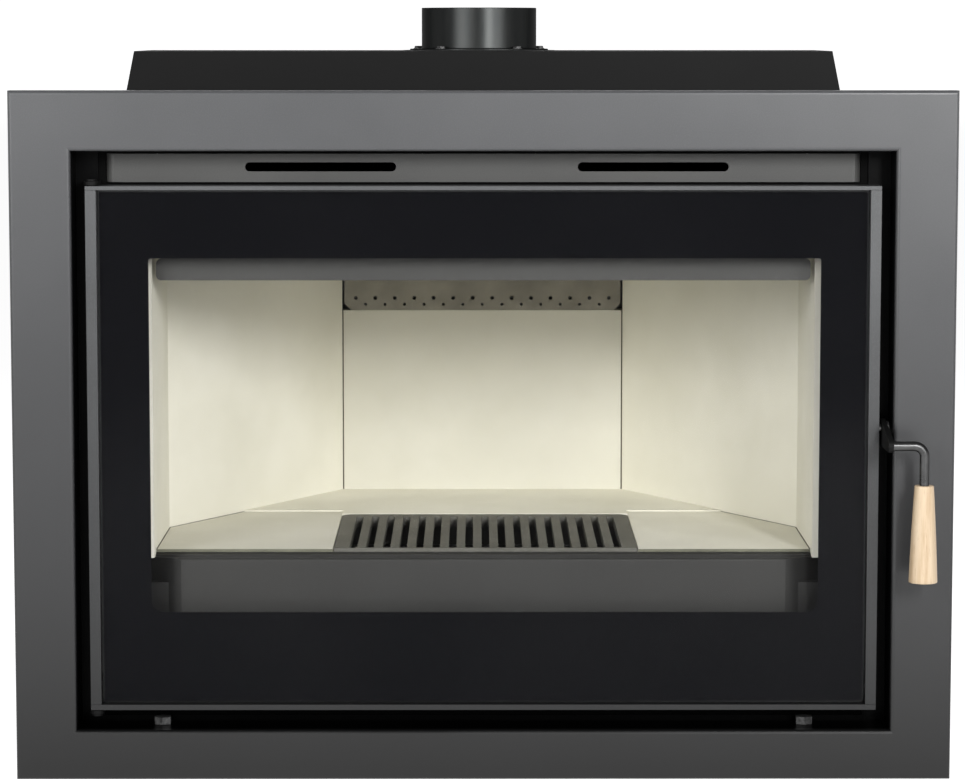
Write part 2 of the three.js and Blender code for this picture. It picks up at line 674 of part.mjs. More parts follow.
const collarBoltSpots = Array.from({ length: COLLAR_BOLT_COUNT }, (_, i) => {
  const angle = -Math.PI / 2 + ((i + 0.5) * 2 * Math.PI) / COLLAR_BOLT_COUNT;
  return [FLUE_X + COLLAR_BOLT_CIRCLE * Math.cos(angle), FLUE_Y + COLLAR_BOLT_CIRCLE * Math.sin(angle)];
});
const collarBoltHoles = (z0, z1) => collarBoltSpots.map(([x, y]) =>
  rodZ(COLLAR_BOLT_RADIUS + PIN_PLAY, x, y, z0, z1, COARSE));

function hood() {
  const hoodTopHalf = casingHalf - HOOD_TOP_SET_IN;
  const baseHalf = casingInner - SEAT;
  const baseBack = backFront - SEAT;
  const rim = CASING_TOP - HOOD_TUCK;
  const topBack = HOOD_TOP_FRONT + HOOD_TOP_DEPTH;
  const shell = (sheet) => loft(
    rectangleLoop(baseHalf - sheet, hoodFront + sheet, baseBack - sheet, rim - sheet),
    rectangleLoop(hoodTopHalf - sheet, HOOD_TOP_FRONT + sheet, topBack - sheet, HOOD_TOP - sheet));
  const airMouth = block(-outletHalf + OUTLET_BEND, outletHalf - OUTLET_BEND,
    hoodFront - PAST, HOOD_TOP_FRONT, rim - CASING_SHEET - PAST, outletTop);
  const [under, over] = [HOOD_TOP - CASING_SHEET - PAST, HOOD_TOP + PAST];
  return cut(shell(0), shell(CASING_SHEET), airMouth, flueHole(under, over), ...collarBoltHoles(under, over));
}
place(casing, "hood", hood(), darkSteel);

const gasketBottom = HOOD_TOP + SEAT;
const flangeBottom = gasketBottom + GASKET_THICKNESS + SEAT;
const flangeTop = flangeBottom + FLANGE_THICKNESS;
place(casing, "collar_gasket", cut(
  rodZ(GASKET_RADIUS, FLUE_X, FLUE_Y, gasketBottom, gasketBottom + GASKET_THICKNESS, 2 * ROUND),
  flueHole(gasketBottom - PAST, flangeBottom), ...collarBoltHoles(gasketBottom - PAST, flangeBottom),
), ceramicRope);

function flueCollar() {
  const outside = FLUE_DIAMETER / 2;
  const bore = outside - FLUE_WALL;
  const foot = FIREBOX_TOP - SEAT;
  const tube = turned([
    [bore, foot], [outside, foot], [outside, flangeBottom], [FLANGE_RADIUS, flangeBottom],
    [FLANGE_RADIUS, flangeTop], [outside, flangeTop], [outside, FLUE_TOP], [bore, FLUE_TOP], [bore, foot],
  ], 2 * ROUND).translate(FLUE_X, FLUE_Y, 0);
  return cut(tube, ...collarBoltHoles(flangeBottom - PAST, flangeTop + PAST));
}
place(casing, "flue_collar", flueCollar(), darkSteel);

collarBoltSpots.forEach(([x, y], i) => {
  const shank = flangeTop + SEAT - (HOOD_TOP - CASING_SHEET) + COLLAR_BOLT_HEAD_HEIGHT;
  place(casing, `collar_bolt_${i + 1}`,
    hexBolt(COLLAR_BOLT_HEAD_RADIUS, COLLAR_BOLT_HEAD_HEIGHT, COLLAR_BOLT_RADIUS, shank),
    bareSteel, [x, y, flangeTop + SEAT]);
});

// ---------------------------------------------------------------- firebox lining

// the baffle board's underside rises from the back to the front
const baffleRise = (BAFFLE_FRONT_LEVEL - BAFFLE_BACK_LEVEL) / (LINING_BACK_Y - BAFFLE_FRONT_Y);
const baffleUnder = (y) => BAFFLE_BACK_LEVEL + (LINING_BACK_Y - y) * baffleRise;
const boardFoot = floorSteelTop + SEAT;
const boardTop = OPENING_TOP - SEAT;
const lipRollTop = HEARTH_LEVEL - LIP_ROLL_DROP;
const underBaffle = alongX(outline([
  [0, baffleUnder(0) - SEAT], [CASING_BACK, baffleUnder(CASING_BACK) - SEAT],
  [CASING_BACK, SURROUND_HEIGHT], [0, SURROUND_HEIGHT],
]), -casingHalf, casingHalf);

for (const [name, side] of SIDES) {
  const [x0, x1] = side < 0 ? [-liningOuter, -liningHalf] : [liningHalf, liningOuter];
  const straight = block(x0, x1, LINING_FRONT, ANGLE_START_Y - SEAT, boardFoot, boardTop);
  const angled = mirroredX([
    [liningHalf, ANGLE_START_Y], [liningBackHalf, LINING_BACK_Y],
    [liningBackHalf + BOARD * angleOut.x, LINING_BACK_Y + BOARD * angleOut.y],
    [liningHalf + BOARD * angleOut.x, ANGLE_START_Y + BOARD * angleOut.y],
  ], side);
  const overLip = block(-liningOuter - PAST, liningOuter + PAST, 0, ledgeBack + SEAT, 0, lipRollTop + SEAT);
  place(casing, `front_return_board_${name}`, cut(straight, underBaffle, overLip), vermiculite);
  place(casing, `side_board_${name}`,
    cut(raised(outline(angled), boardFoot, boardTop), underBaffle), vermiculite);
}

const backBoardHalf = liningBackHalf - SEAT;
place(casing, "back_board",
  block(-backBoardHalf, backBoardHalf, LINING_BACK_Y, liningBackOuter, boardFoot, BACK_BOARD_TOP),
  vermiculite);

const floorHalf = (y) => (y <= ANGLE_START_Y ? liningHalf : angledFace(0, y)) - SEAT;
for (const [name, side] of SIDES) {
  const edge = side < 0 ? -grateLeft + RUN : grateRight + RUN;
  const back = BACK_FLOOR_JOINT_Y - SEAT;
  const plan = mirroredX([
    [edge, ledgeBack + SEAT], [floorHalf(0), ledgeBack + SEAT], [floorHalf(0), ANGLE_START_Y - SEAT],
    [floorHalf(back), back], [edge, back],
  ], side);
  place(casing, `floor_board_${name}`, raised(outline(plan), boardFoot, HEARTH_LEVEL), vermiculite);
}
const bridge = [[grateLeft - RUN + SEAT, grateBack + RUN], [grateRight + RUN - SEAT, grateBack + RUN]];
const floorRear = LINING_BACK_Y - SEAT;
place(casing, "floor_board_back", raised(outline([
  [bridge[0][0], bridge[0][1]], [bridge[1][0], bridge[1][1]], [bridge[1][0], BACK_FLOOR_JOINT_Y],
  [floorHalf(BACK_FLOOR_JOINT_Y), BACK_FLOOR_JOINT_Y], [floorHalf(floorRear), floorRear],
  [-floorHalf(floorRear), floorRear], [-floorHalf(BACK_FLOOR_JOINT_Y), BACK_FLOOR_JOINT_Y],
  [bridge[0][0], BACK_FLOOR_JOINT_Y],
]), boardFoot, HEARTH_LEVEL + BACK_FLOOR_RISE), vermiculite);

const baffleSlab = alongX(outline([
  [BAFFLE_FRONT_Y, baffleUnder(BAFFLE_FRONT_Y)], [steelBack - RUN, baffleUnder(steelBack - RUN)],
  [steelBack - RUN, baffleUnder(steelBack - RUN) + BAFFLE_THICKNESS],
  [BAFFLE_FRONT_Y, baffleUnder(BAFFLE_FRONT_Y) + BAFFLE_THICKNESS],
]), -casingHalf, casingHalf);
const baffleSpace = raised(fireboxPlan(BAFFLE_FRONT_Y, steelBack - RUN, RUN), HEARTH_LEVEL, FIREBOX_TOP);
place(casing, "baffle_board", common(baffleSpace, baffleSlab), vermiculite);
place(casing, "smoke_plate", raised(fireboxPlan(bodyFront, SMOKE_PLATE_BACK, SEAT),
  SMOKE_PLATE_LEVEL, SMOKE_PLATE_LEVEL + SMOKE_PLATE_THICKNESS), innerSteel);

// perforated channel that feeds secondary air above the back board
function secondaryAirPlate() {
  const z0 = BACK_BOARD_TOP + SEAT;
  const z1 = baffleUnder(liningBackOuter) - SEAT;
  const t = AIR_PLATE_SHEET;
  const [y0, y1] = [LINING_BACK_Y, liningBackOuter];
  const half = backBoardHalf - AIR_PLATE_END_GAP;
  const c = AIR_PLATE_CHAMFER;
  const face = alongY(outline([[-half + c, z0], [half - c, z0], [half, z0 + c], [half, z1], [-half, z1],
    [-half, z0 + c]]), y0, y0 + t);
  const foot = block(-half + c, half - c, y0 + t / 2, y1, z0, z0 + t);
  const roof = block(-half, half, y0 + t / 2, y1, z1 - t, z1);
  const upperCount = Math.floor((2 * half) / AIR_HOLE_PITCH);
  const row = (count, radius, above) => Array.from({ length: count }, (_, i) =>
    rodY(radius, (i - (count - 1) / 2) * AIR_HOLE_PITCH, BACK_BOARD_TOP + above, y0 - PAST, y0 + t + PAST,
      HOLE_SIDES));
  return cut(joined(face, foot, roof), ...row(upperCount, AIR_UPPER_RADIUS, AIR_UPPER_ABOVE_BOARD),
    ...row(upperCount - 1, AIR_LOWER_RADIUS, AIR_LOWER_ABOVE_BOARD));
}
place(casing, "secondary_air_plate", secondaryAirPlate(), bareSteel);

// bar that turns the air down over the glass, hung from the top edge of the front plate's opening
function airwashDeflector() {
  const [half, t] = [liningHalf - DEFLECTOR_END_GAP, DEFLECTOR_SHEET];
  const [y0, z0] = [DEFLECTOR_FRONT, DEFLECTOR_BOTTOM];
  const z1 = z0 + DEFLECTOR_HEIGHT;
  const bar = alongY(roundedRectangle(-half, half, z0, z1, DEFLECTOR_CORNER), y0, y0 + t);
  const flangeHalf = half - DEFLECTOR_CORNER;
  const flange = block(-flangeHalf, flangeHalf, y0 + t / 2, y0 + DEFLECTOR_DEPTH, z0, z0 + t);
  const hangerHalf = liningHalf - DEFLECTOR_HANGER_SET_IN;
  const hanger = block(-hangerHalf, hangerHalf, y0 + t / 2, plateBack, (z0 + z1) / 2, OPENING_TOP - SEAT);
  return joined(bar, flange, hanger);
}
place(casing, "airwash_deflector", airwashDeflector(), innerSteel);

// ---------------------------------------------------------------- hearth lip, ash box and pan

function hearthLip() {
  const [inner, end] = [liningHalf - SEAT, liningOuter];
  const straight = liningHalf - HEARTH_LIP_BEND_IN;
  const t = HEARTH_LIP_SHEET;
  const front = [[-end, ledgeBack], [-straight, LIP_FRONT], [straight, LIP_FRONT], [end, ledgeBack]];
  const apron = raised(foldedSheet(front, t), HEARTH_LIP_BOTTOM, lipRollTop);
  // seen end on: the ledge before the floor boards, a groove, and the apron's rolled top edge
  const ledgeTop = HEARTH_LEVEL - LEDGE_DROP;
  const ledgeFront = ledgeBack - LEDGE_LENGTH;
  const ledgeLow = ledgeTop - LEDGE_SLOPE;
  const groove = lipRollTop - LIP_GROOVE_DEPTH;
  const ledge = common(raised(outline(front), boardFoot, HEARTH_LEVEL), alongX(outline([
    [LIP_FRONT, groove - t], [ledgeBack - t, groove - t], [ledgeBack - t, boardFoot], [ledgeBack, boardFoot],
    [ledgeBack, ledgeTop], [ledgeFront, ledgeLow], [ledgeFront, groove], [LIP_FRONT, groove],
  ]), -inner, inner));
  const belowApron = HEARTH_LIP_BOTTOM - PAST;
  const pastLedge = block(-end - PAST, end + PAST, ledgeBack, ledgeBack + 2 * t, belowApron, HEARTH_LEVEL);
  const clearOfPlate = block(-end - PAST, end + PAST, RECESS_DEPTH, ledgeBack + PAST, belowApron, boardFoot);
  const sharpEdge = cut(block(-end, end, LIP_FRONT - PAST, LIP_FRONT + LIP_ROLL_RADIUS,
    lipRollTop - LIP_ROLL_RADIUS, lipRollTop + PAST),
  rodX(LIP_ROLL_RADIUS, LIP_FRONT + LIP_ROLL_RADIUS, lipRollTop - LIP_ROLL_RADIUS, -end - PAST, end + PAST));
  return cut(joined(apron, ledge), pastLedge, clearOfPlate, sharpEdge);
}
place(casing, "hearth_lip", hearthLip(), innerSteel);

function ashBox() {
  const [half, y0, y1] = [ASH_BOX_HALF_WIDTH, bodyFront, bodyFront + ASH_BOX_DEPTH];
  const top = floorSteelBottom - SEAT;
  const outer = block(-half, half, y0, y1, ASH_BOX_BOTTOM, top);
  const inner = block(-ashMouthHalf, ashMouthHalf, y0 - PAST, y1 - ASH_BOX_SHEET, ashMouthBottom, top + PAST);
  return cut(outer, inner);
}
place(casing, "ash_box", ashBox(), innerSteel);

function ashPan() {
  const half = ashMouthHalf - RUN;
  const [y0, y1] = [bodyFront, bodyFront + ASH_BOX_DEPTH - ASH_BOX_SHEET - RUN];
  const z0 = ashMouthBottom + SEAT;
  const t = ASH_PAN_SHEET;
  const tray = cut(block(-half, half, y0, y1, z0, z0 + ASH_PAN_HEIGHT),
    block(-half + t, half - t, y0 + t, y1 - t, z0 + t, z0 + ASH_PAN_HEIGHT + PAST));
  const tabTop = HEARTH_LIP_BOTTOM - 2 * t;
  const tab = block(-ASH_PAN_TAB_WIDTH / 2, ASH_PAN_TAB_WIDTH / 2, y0 - ASH_PAN_TAB_DEPTH, y0 + t / 2,
    tabTop - t, tabTop);
  return joined(tray, tab);
}
place(casing, "ash_pan", ashPan(), bareSteel);

// ---------------------------------------------------------------- grate

function grate() {
  const shape = new THREE.Shape();
  const r = GRATE_CORNER;
  shape.moveTo(grateLeft, grateFront);
  shape.lineTo(grateRight, grateFront);
  shape.lineTo(grateRight, grateBack - r);
  shape.absarc(grateRight - r, grateBack - r, r, 0, Math.PI / 2);
  shape.lineTo(grateLeft + r, grateBack);
  shape.absarc(grateLeft + r, grateBack - r, r, Math.PI / 2, Math.PI);
  const top = HEARTH_LEVEL + GRATE_PROUD;
  const under = block(grateLeft + GRATE_SIDE_RIM, grateRight - GRATE_SIDE_RIM, grateFront + GRATE_END_RIM,
    grateBack - GRATE_SIDE_RIM, boardFoot - PAST, top - GRATE_THICKNESS);
  const slots = Array.from({ length: GRATE_SLOTS }, (_, i) => {
    const x = GRATE_X + (i - (GRATE_SLOTS - 1) / 2) * GRATE_PITCH;
    const hole = roundedRectangle(x - GRATE_SLOT_WIDTH / 2, x + GRATE_SLOT_WIDTH / 2,
      grateFront + GRATE_END_RIM, grateBack - GRATE_BACK_BAR, GRATE_SLOT_WIDTH / 2 - SLOT_END_FLAT);
    return raised(hole, top - GRATE_THICKNESS - PAST, top + PAST);
  });
  return cut(raised(shape, boardFoot, top), under, ...slots);
}
place(hearth, "grate", grate(), castIron);

// ---------------------------------------------------------------- door

const stileInner = doorHalf - STILE_WIDTH;
const doorBack = DOOR_FRONT + DOOR_DEPTH;
const sealLegHalf = openingHalf + SEAL_LEG_MARGIN;
const sealLegBottom = ashMouthBottom - SEAL_LEG_MARGIN;
const sealLegTop = OPENING_TOP + SEAL_LEG_MARGIN;
const ledgeRear = LEDGE_FRONT + LEDGE_THICKNESS;
const legRear = ledgeRear + SEAL_LEG_DEPTH;
const railInnerLow = doorBottom + BOTTOM_RAIL_HEIGHT;
const railInnerHigh = doorTop - TOP_RAIL_HEIGHT;
const hingeX = STILE_WIDTH / 2 - doorHalf;
const pinHole = (z0, z1) => rodZ(HINGE_PIN_RADIUS + PIN_PLAY, hingeX, HINGE_Y, z0, z1);
const leverBoltHole = (x0, x1) => rodX(LEVER_PIVOT_RADIUS + PIN_PLAY, LEVER_PIVOT_Y, LEVER_PIVOT_Z, x0, x1);

for (const [name, side] of SIDES) {
  // a flat bar with a ledge behind the glass and a leg that keeps the rope seal
  const section = outline(mirroredX([
    [sealLegHalf, LEDGE_FRONT], [stileInner, LEDGE_FRONT], [stileInner, DOOR_FRONT],
    [doorHalf, DOOR_FRONT], [doorHalf, doorBack], [stileInner, doorBack],
    [stileInner, ledgeRear], [sealLegHalf + LEDGE_THICKNESS, ledgeRear],
    [sealLegHalf + LEDGE_THICKNESS, legRear], [sealLegHalf, legRear],
  ], side));
  const bar = raised(section, railInnerLow + SEAT, railInnerHigh - SEAT);
  const railLedges = [[0, sealLegBottom + SEAT], [sealLegTop - SEAT, doorTop]].map(([low, high]) =>
    block(-stileInner - SEAT, stileInner + SEAT, LEDGE_FRONT - PAST, legRear + PAST, low, high));
  const holes = side < 0
    ? [pinHole(0, railInnerLow + HINGE_PIN_IN_DOOR), pinHole(railInnerHigh - HINGE_PIN_IN_DOOR, doorTop)]
    : [leverBoltHole(stileInner - PAST, doorHalf + PAST)];
  place(door, `door_stile_${name}`, cut(bar, ...railLedges, ...holes), doorSteel);
}

function rail(edge, inner, leg) {
  const out = Math.sign(edge - inner);
  const low = (a, b) => [Math.min(a, b), Math.max(a, b)];
  const bar = block(-doorHalf, doorHalf, DOOR_FRONT, doorBack, ...low(inner, edge));
  const ledgeHalf = stileInner - SEAT;
  const ledge = block(-ledgeHalf, ledgeHalf, LEDGE_FRONT, ledgeRear, ...low(inner + out, leg));
  const legHalf = sealLegHalf + LEDGE_THICKNESS;
  const stop = block(-legHalf, legHalf, ledgeRear - PAST, legRear, ...low(leg, leg + out * LEDGE_THICKNESS));
  return cut(joined(bar, ledge, stop), pinHole(Math.min(edge, inner) - PAST, Math.max(edge, inner) + PAST));
}
place(door, "door_rail_bottom", rail(doorBottom, railInnerLow, sealLegBottom), doorSteel);
place(door, "door_rail_top", rail(doorTop, railInnerHigh, sealLegTop), doorSteel);

const glassHalf = stileInner - GLASS_EDGE_GAP;
const glassLow = railInnerLow + GLASS_EDGE_GAP;
const glassHigh = railInnerHigh - GLASS_EDGE_GAP;
const glassBack = GLASS_FRONT + GLASS_THICKNESS;
place(door, "door_glass",
  block(-glassHalf, glassHalf, GLASS_FRONT, glassBack, glassLow, glassHigh), clearGlass);

function glassBorder() {
  const shape = roundedRectangle(-glassHalf, glassHalf, glassLow, glassHigh, BORDER_CORNER);
  const windowHalf = liningHalf + WINDOW_PAST_LINING;
  shape.holes.push(roundedRectangle(WINDOW_X - windowHalf, WINDOW_X + windowHalf, WINDOW_BOTTOM, WINDOW_TOP,
    WINDOW_BOTTOM_RADIUS, WINDOW_TOP_RADIUS));
  return alongY(shape, glassBack + SEAT, glassBack + SEAT + PRINT_THICKNESS);
}
place(door, "glass_border", glassBorder(), blackEnamel);

// rectangles that grow outwards from the seal leg's inner edge
const sealRing = (out, y) => ({ x: sealLegHalf + out, z0: sealLegBottom - out, z1: sealLegTop + out, y });
const tapeFront = glassBack + SEAT + PRINT_THICKNESS + SEAT;
const tapeBack = LEDGE_FRONT - SEAT;
place(door, "glass_tape", mitredFrame([
  sealRing(TAPE_SET_OUT, tapeFront), sealRing(TAPE_SET_OUT + TAPE_WIDTH, tapeFront),
  sealRing(TAPE_SET_OUT + TAPE_WIDTH, tapeBack), sealRing(TAPE_SET_OUT, tapeBack),
]), ceramicRope);

function ropeSeal() {
  const y0 = ledgeRear + SEAT;
  const y1 = plateFront - SEAT;
  const inner = LEDGE_THICKNESS + SEAT;
  const [cx, cy] = [inner + ROPE_WIDTH / 2, (y0 + y1) / 2];
  return mitredFrame(Array.from({ length: COARSE }, (_, i) => {
    const angle = ((i + 0.5) * 2 * Math.PI) / COARSE;
    const reach = Math.cos(Math.PI / COARSE);
    return sealRing(cx + (ROPE_WIDTH / 2) * Math.cos(angle), cy + ((y1 - y0) / 2 / reach) * Math.sin(angle));
  }));
}
place(door, "door_rope_seal", ropeSeal(), ceramicRope);

// ---------------------------------------------------------------- hinges

const bracketLow = doorBottom - HINGE_BRACKET_GAP;
const bracketHigh = doorTop + HINGE_BRACKET_GAP;
function hingeBracket(z0, z1) {
  const [x0, x1] = [hingeX - HINGE_BRACKET_HALF_WIDTH, hingeX + HINGE_BRACKET_HALF_WIDTH];
  const back = RECESS_DEPTH - SURROUND_SHEET - SEAT;
  const nose = new THREE.Shape();
  nose.moveTo(x1, HINGE_Y);
  nose.lineTo(x1, back);
  nose.lineTo(x0, back);
  nose.lineTo(x0, HINGE_Y);
  nose.absarc(hingeX, HINGE_Y, HINGE_BRACKET_HALF_WIDTH, Math.PI, 2 * Math.PI);
  return cut(raised(nose, z0, z1), pinHole(z0 - PAST, z1 + PAST));
}
place(casing, "hinge_bracket_bottom",
  hingeBracket(bracketLow - HINGE_BRACKET_THICKNESS, bracketLow), darkSteel);
place(casing, "hinge_bracket_top",
  hingeBracket(bracketHigh, bracketHigh + HINGE_BRACKET_THICKNESS), darkSteel);

// the pins turn with the door; each head lies past its bracket
function hingePin(railHeight) {
  const length = HINGE_BRACKET_THICKNESS + HINGE_BRACKET_GAP + railHeight + HINGE_PIN_IN_DOOR - SEAT;
  return joined(rodZ(HINGE_PIN_RADIUS, 0, 0, -length, HINGE_PIN_HEAD / 2),
    rodZ(HINGE_PIN_RADIUS + HINGE_PIN_HEAD, 0, 0, SEAT, SEAT + HINGE_PIN_HEAD));
}
place(door, "hinge_pin_top", hingePin(TOP_RAIL_HEIGHT), bareSteel,
  [hingeX, HINGE_Y, bracketHigh + HINGE_BRACKET_THICKNESS]);
place(door, "hinge_pin_bottom", hingePin(BOTTOM_RAIL_HEIGHT), bareSteel,
  [hingeX, HINGE_Y, bracketLow - HINGE_BRACKET_THICKNESS]).rotation.x = Math.PI;

// ---------------------------------------------------------------- latch and handle

const leverX = doorHalf + LEVER_GAP;
const gripX = leverX + GRIP_OUT;
const keeperZ = LEVER_PIVOT_Z - KEEPER_BELOW_PIVOT;
const rodZLevel = LEVER_PIVOT_Z - ROD_BELOW_PIVOT;
const gripTop = rodZLevel - GRIP_BELOW_ROD;
const keeperTip = leverX - KEEPER_PAST_LEVER;
place(casing, "latch_keeper", joined(
  rodX(KEEPER_RADIUS, KEEPER_Y, keeperZ, keeperTip, opening.x - SEAT - KEEPER_BASE_THICKNESS / 2),
  rodX(KEEPER_BASE_RADIUS, KEEPER_Y, keeperZ, opening.x - SEAT - KEEPER_BASE_THICKNESS, opening.x - SEAT),
), bareSteel);

place(door, "lever_bolt", joined(
  rodX(LEVER_PIVOT_RADIUS, LEVER_PIVOT_Y, LEVER_PIVOT_Z, stileInner, leverX + LEVER_THICKNESS + PAST),
  rodX(LEVER_BOLT_HEAD_RADIUS, LEVER_PIVOT_Y, LEVER_PIVOT_Z, leverX + LEVER_THICKNESS + SEAT,
    leverX + LEVER_THICKNESS + SEAT + LEVER_BOLT_HEAD_HEIGHT),
), bareSteel);

// three-cornered plate: pivot boss at the top, rod at the front, arm and upturned tongue at the back
function latchLever() {
  const keeperUnder = keeperZ - KEEPER_RADIUS;
  const armTop = keeperUnder - ARM_DROP;
  const tongueFront = KEEPER_Y + KEEPER_RADIUS + SEAT;
  const tongueBack = tongueFront + TONGUE_THICKNESS;
  const shape = new THREE.Shape();
  shape.moveTo(tongueBack, armTop - ARM_HEIGHT);
  shape.lineTo(tongueBack, keeperUnder - TONGUE_DROP);
  shape.lineTo(tongueFront, keeperUnder - TONGUE_DROP);
  shape.lineTo(tongueFront - RUN, armTop);
  shape.lineTo(KEEPER_Y - KEEPER_RADIUS - RUN, armTop);
  shape.absarc(LEVER_PIVOT_Y, LEVER_PIVOT_Z, LEVER_BOSS_RADIUS, BOSS_ARC_START, BOSS_ARC_END);
  shape.absarc(ROD_Y, rodZLevel, ROD_RADIUS + ROD_EYE, ROD_ARC_START, ROD_ARC_END);
  const plate = alongX(shape, leverX, leverX + LEVER_THICKNESS);
  return cut(plate, leverBoltHole(leverX - PAST, leverX + LEVER_THICKNESS + PAST));
}
place(latch, "latch_lever", latchLever(), darkSteel);

// the rod leaves the plate sideways, turns down and ends inside the grip
const gripBore = ROD_RADIUS + PIN_PLAY;
const rodEnd = gripTop - ROD_IN_GRIP;
function handleRod() {
  const path = new THREE.CurvePath();
  const start = new THREE.Vector3(leverX + LEVER_THICKNESS + SEAT, ROD_Y, rodZLevel);
  const bendStart = new THREE.Vector3(gripX - ROD_BEND, ROD_Y, rodZLevel);
  const corner = new THREE.Vector3(gripX, ROD_Y, rodZLevel);
  const bendEnd = new THREE.Vector3(gripX, ROD_Y, rodZLevel - ROD_BEND);
  const end = new THREE.Vector3(gripX, ROD_Y, rodEnd + SEAT);
  path.add(new THREE.LineCurve3(start, bendStart));
  path.add(new THREE.QuadraticBezierCurve3(bendStart, corner, bendEnd));
  path.add(new THREE.LineCurve3(bendEnd, end));
  const section = new THREE.Shape().absarc(0, 0, ROD_RADIUS, 0, 2 * Math.PI);
  return new THREE.ExtrudeGeometry(section, {
    steps: ROD_STEPS, curveSegments: COARSE, bevelEnabled: false, extrudePath: path,
  });
}
place(latch, "handle_rod", handleRod(), darkSteel);

function handleGrip() {
  const bottom = gripTop - GRIP_LENGTH;
  const edge = (radius, level, side) => Array.from({ length: BEND_STEPS }, (_, i) => {
    const angle = ((i + 0.5) / BEND_STEPS) * (Math.PI / 2);
    const turnIn = side < 0 ? Math.sin(angle) : Math.cos(angle);
    const lift = side < 0 ? Math.cos(angle) : Math.sin(angle);
    return [radius - GRIP_EDGE * (1 - turnIn), level - side * GRIP_EDGE * (1 - lift)];
  });
  return turned([
    [0, bottom], ...edge(GRIP_BOTTOM_RADIUS, bottom, -1), ...edge(GRIP_TOP_RADIUS, gripTop, 1),
    [gripBore, gripTop], [gripBore, rodEnd], [0, rodEnd],
  ]).translate(gripX, ROD_Y, 0);
}
place(latch, "handle_grip", handleGrip(), beech);

// the origin lies on the hearth, under the middle of the insert from its grip to its back
const foremost = ROD_Y - GRIP_BOTTOM_RADIUS;
insert.position.y = -(foremost + CASING_BACK) / 2;

export default insert;
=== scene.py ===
import json
import math

import bmesh
import bpy
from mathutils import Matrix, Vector


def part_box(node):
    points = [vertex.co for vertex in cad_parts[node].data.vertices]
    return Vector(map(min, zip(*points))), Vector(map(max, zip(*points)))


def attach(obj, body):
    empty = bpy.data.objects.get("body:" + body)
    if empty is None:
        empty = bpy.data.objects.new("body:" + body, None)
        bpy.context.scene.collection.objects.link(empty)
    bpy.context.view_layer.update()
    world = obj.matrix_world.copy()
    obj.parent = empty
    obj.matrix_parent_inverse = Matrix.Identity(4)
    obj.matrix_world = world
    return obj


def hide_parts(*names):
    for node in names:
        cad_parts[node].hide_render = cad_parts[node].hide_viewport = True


# The looks of the fireplace insert: finishes for the CAD nodes, finer meshes for the collar, its
# bolts and the handle, thin closers and joints, and the light and stage of the photograph.

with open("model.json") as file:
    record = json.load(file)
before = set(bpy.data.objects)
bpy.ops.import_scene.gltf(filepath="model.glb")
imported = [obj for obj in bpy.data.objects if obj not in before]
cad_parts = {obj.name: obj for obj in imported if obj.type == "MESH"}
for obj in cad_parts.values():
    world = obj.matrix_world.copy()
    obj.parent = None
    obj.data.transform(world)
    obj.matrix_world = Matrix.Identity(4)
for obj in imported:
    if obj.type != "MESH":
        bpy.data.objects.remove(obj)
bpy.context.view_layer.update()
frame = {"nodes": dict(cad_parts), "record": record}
NODES = frame["nodes"]
SCENE = bpy.context.scene
MM = 0.001

# ------------------------------------------------------------------ places, read from the frame

SURROUND_LOW, SURROUND_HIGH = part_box("surround_frame")
FACE_Y = SURROUND_LOW.y
COLLAR_LOW, COLLAR_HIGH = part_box("flue_collar")
GRIP_LOW, GRIP_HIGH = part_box("handle_grip")
ROD_LOW, ROD_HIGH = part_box("handle_rod")
HOOD_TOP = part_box("hood")[1].z
PLATE_LOW, PLATE_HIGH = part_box("front_frame_plate")
LIP_LOW, LIP_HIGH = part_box("hearth_lip")
OUTLET_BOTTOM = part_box("air_outlet_plate")[0].z
BACK_BOARD_LOW, BACK_BOARD_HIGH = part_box("back_board")
SIDE_BOARD_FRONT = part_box("side_board_right")[0].y
OPENING_HALF_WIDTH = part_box("front_return_board_right")[0].x
FLOOR_BOARD_LOW, FLOOR_BOARD_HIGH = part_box("floor_board_right")
GRATE_LOW, GRATE_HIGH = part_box("grate")


def centre_of(node):
    low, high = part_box(node)
    return (low + high) / 2


# ------------------------------------------------------------------ camera

PHOTO_WIDTH = 965
FOCAL_PIXELS = 3400.0
SENSOR_WIDTH = 36.0
CAMERA_RIGHT = -0.0088
CAMERA_BEFORE_FACE = 3.5786
CAMERA_HEIGHT = 0.798
CAMERA_PITCH = math.radians(6.066)
CAMERA_YAW = math.radians(0.124)
CAMERA_REACH = 100


def add_camera():
    """The photograph's own camera, solved from the surround's corners."""
    data = bpy.data.cameras.new("photo_camera")
    data.sensor_width = SENSOR_WIDTH
    data.lens = FOCAL_PIXELS / PHOTO_WIDTH * SENSOR_WIDTH
    data.clip_end = CAMERA_REACH
    camera = bpy.data.objects.new("photo_camera", data)
    camera.location = (CAMERA_RIGHT, FACE_Y - CAMERA_BEFORE_FACE, CAMERA_HEIGHT)
    camera.rotation_euler = (math.pi / 2 - CAMERA_PITCH, 0, -CAMERA_YAW)
    SCENE.collection.objects.link(camera)
    SCENE.camera = camera


# ------------------------------------------------------------------ material helpers

# the mix node's sockets for colours
MIX_FACTOR, MIX_FIRST, MIX_SECOND, MIX_RESULT = 0, 6, 7, 2


def grey(value):
    return (value, value, value)


def times(colour, factor):
    return tuple(channel * factor for channel in colour)


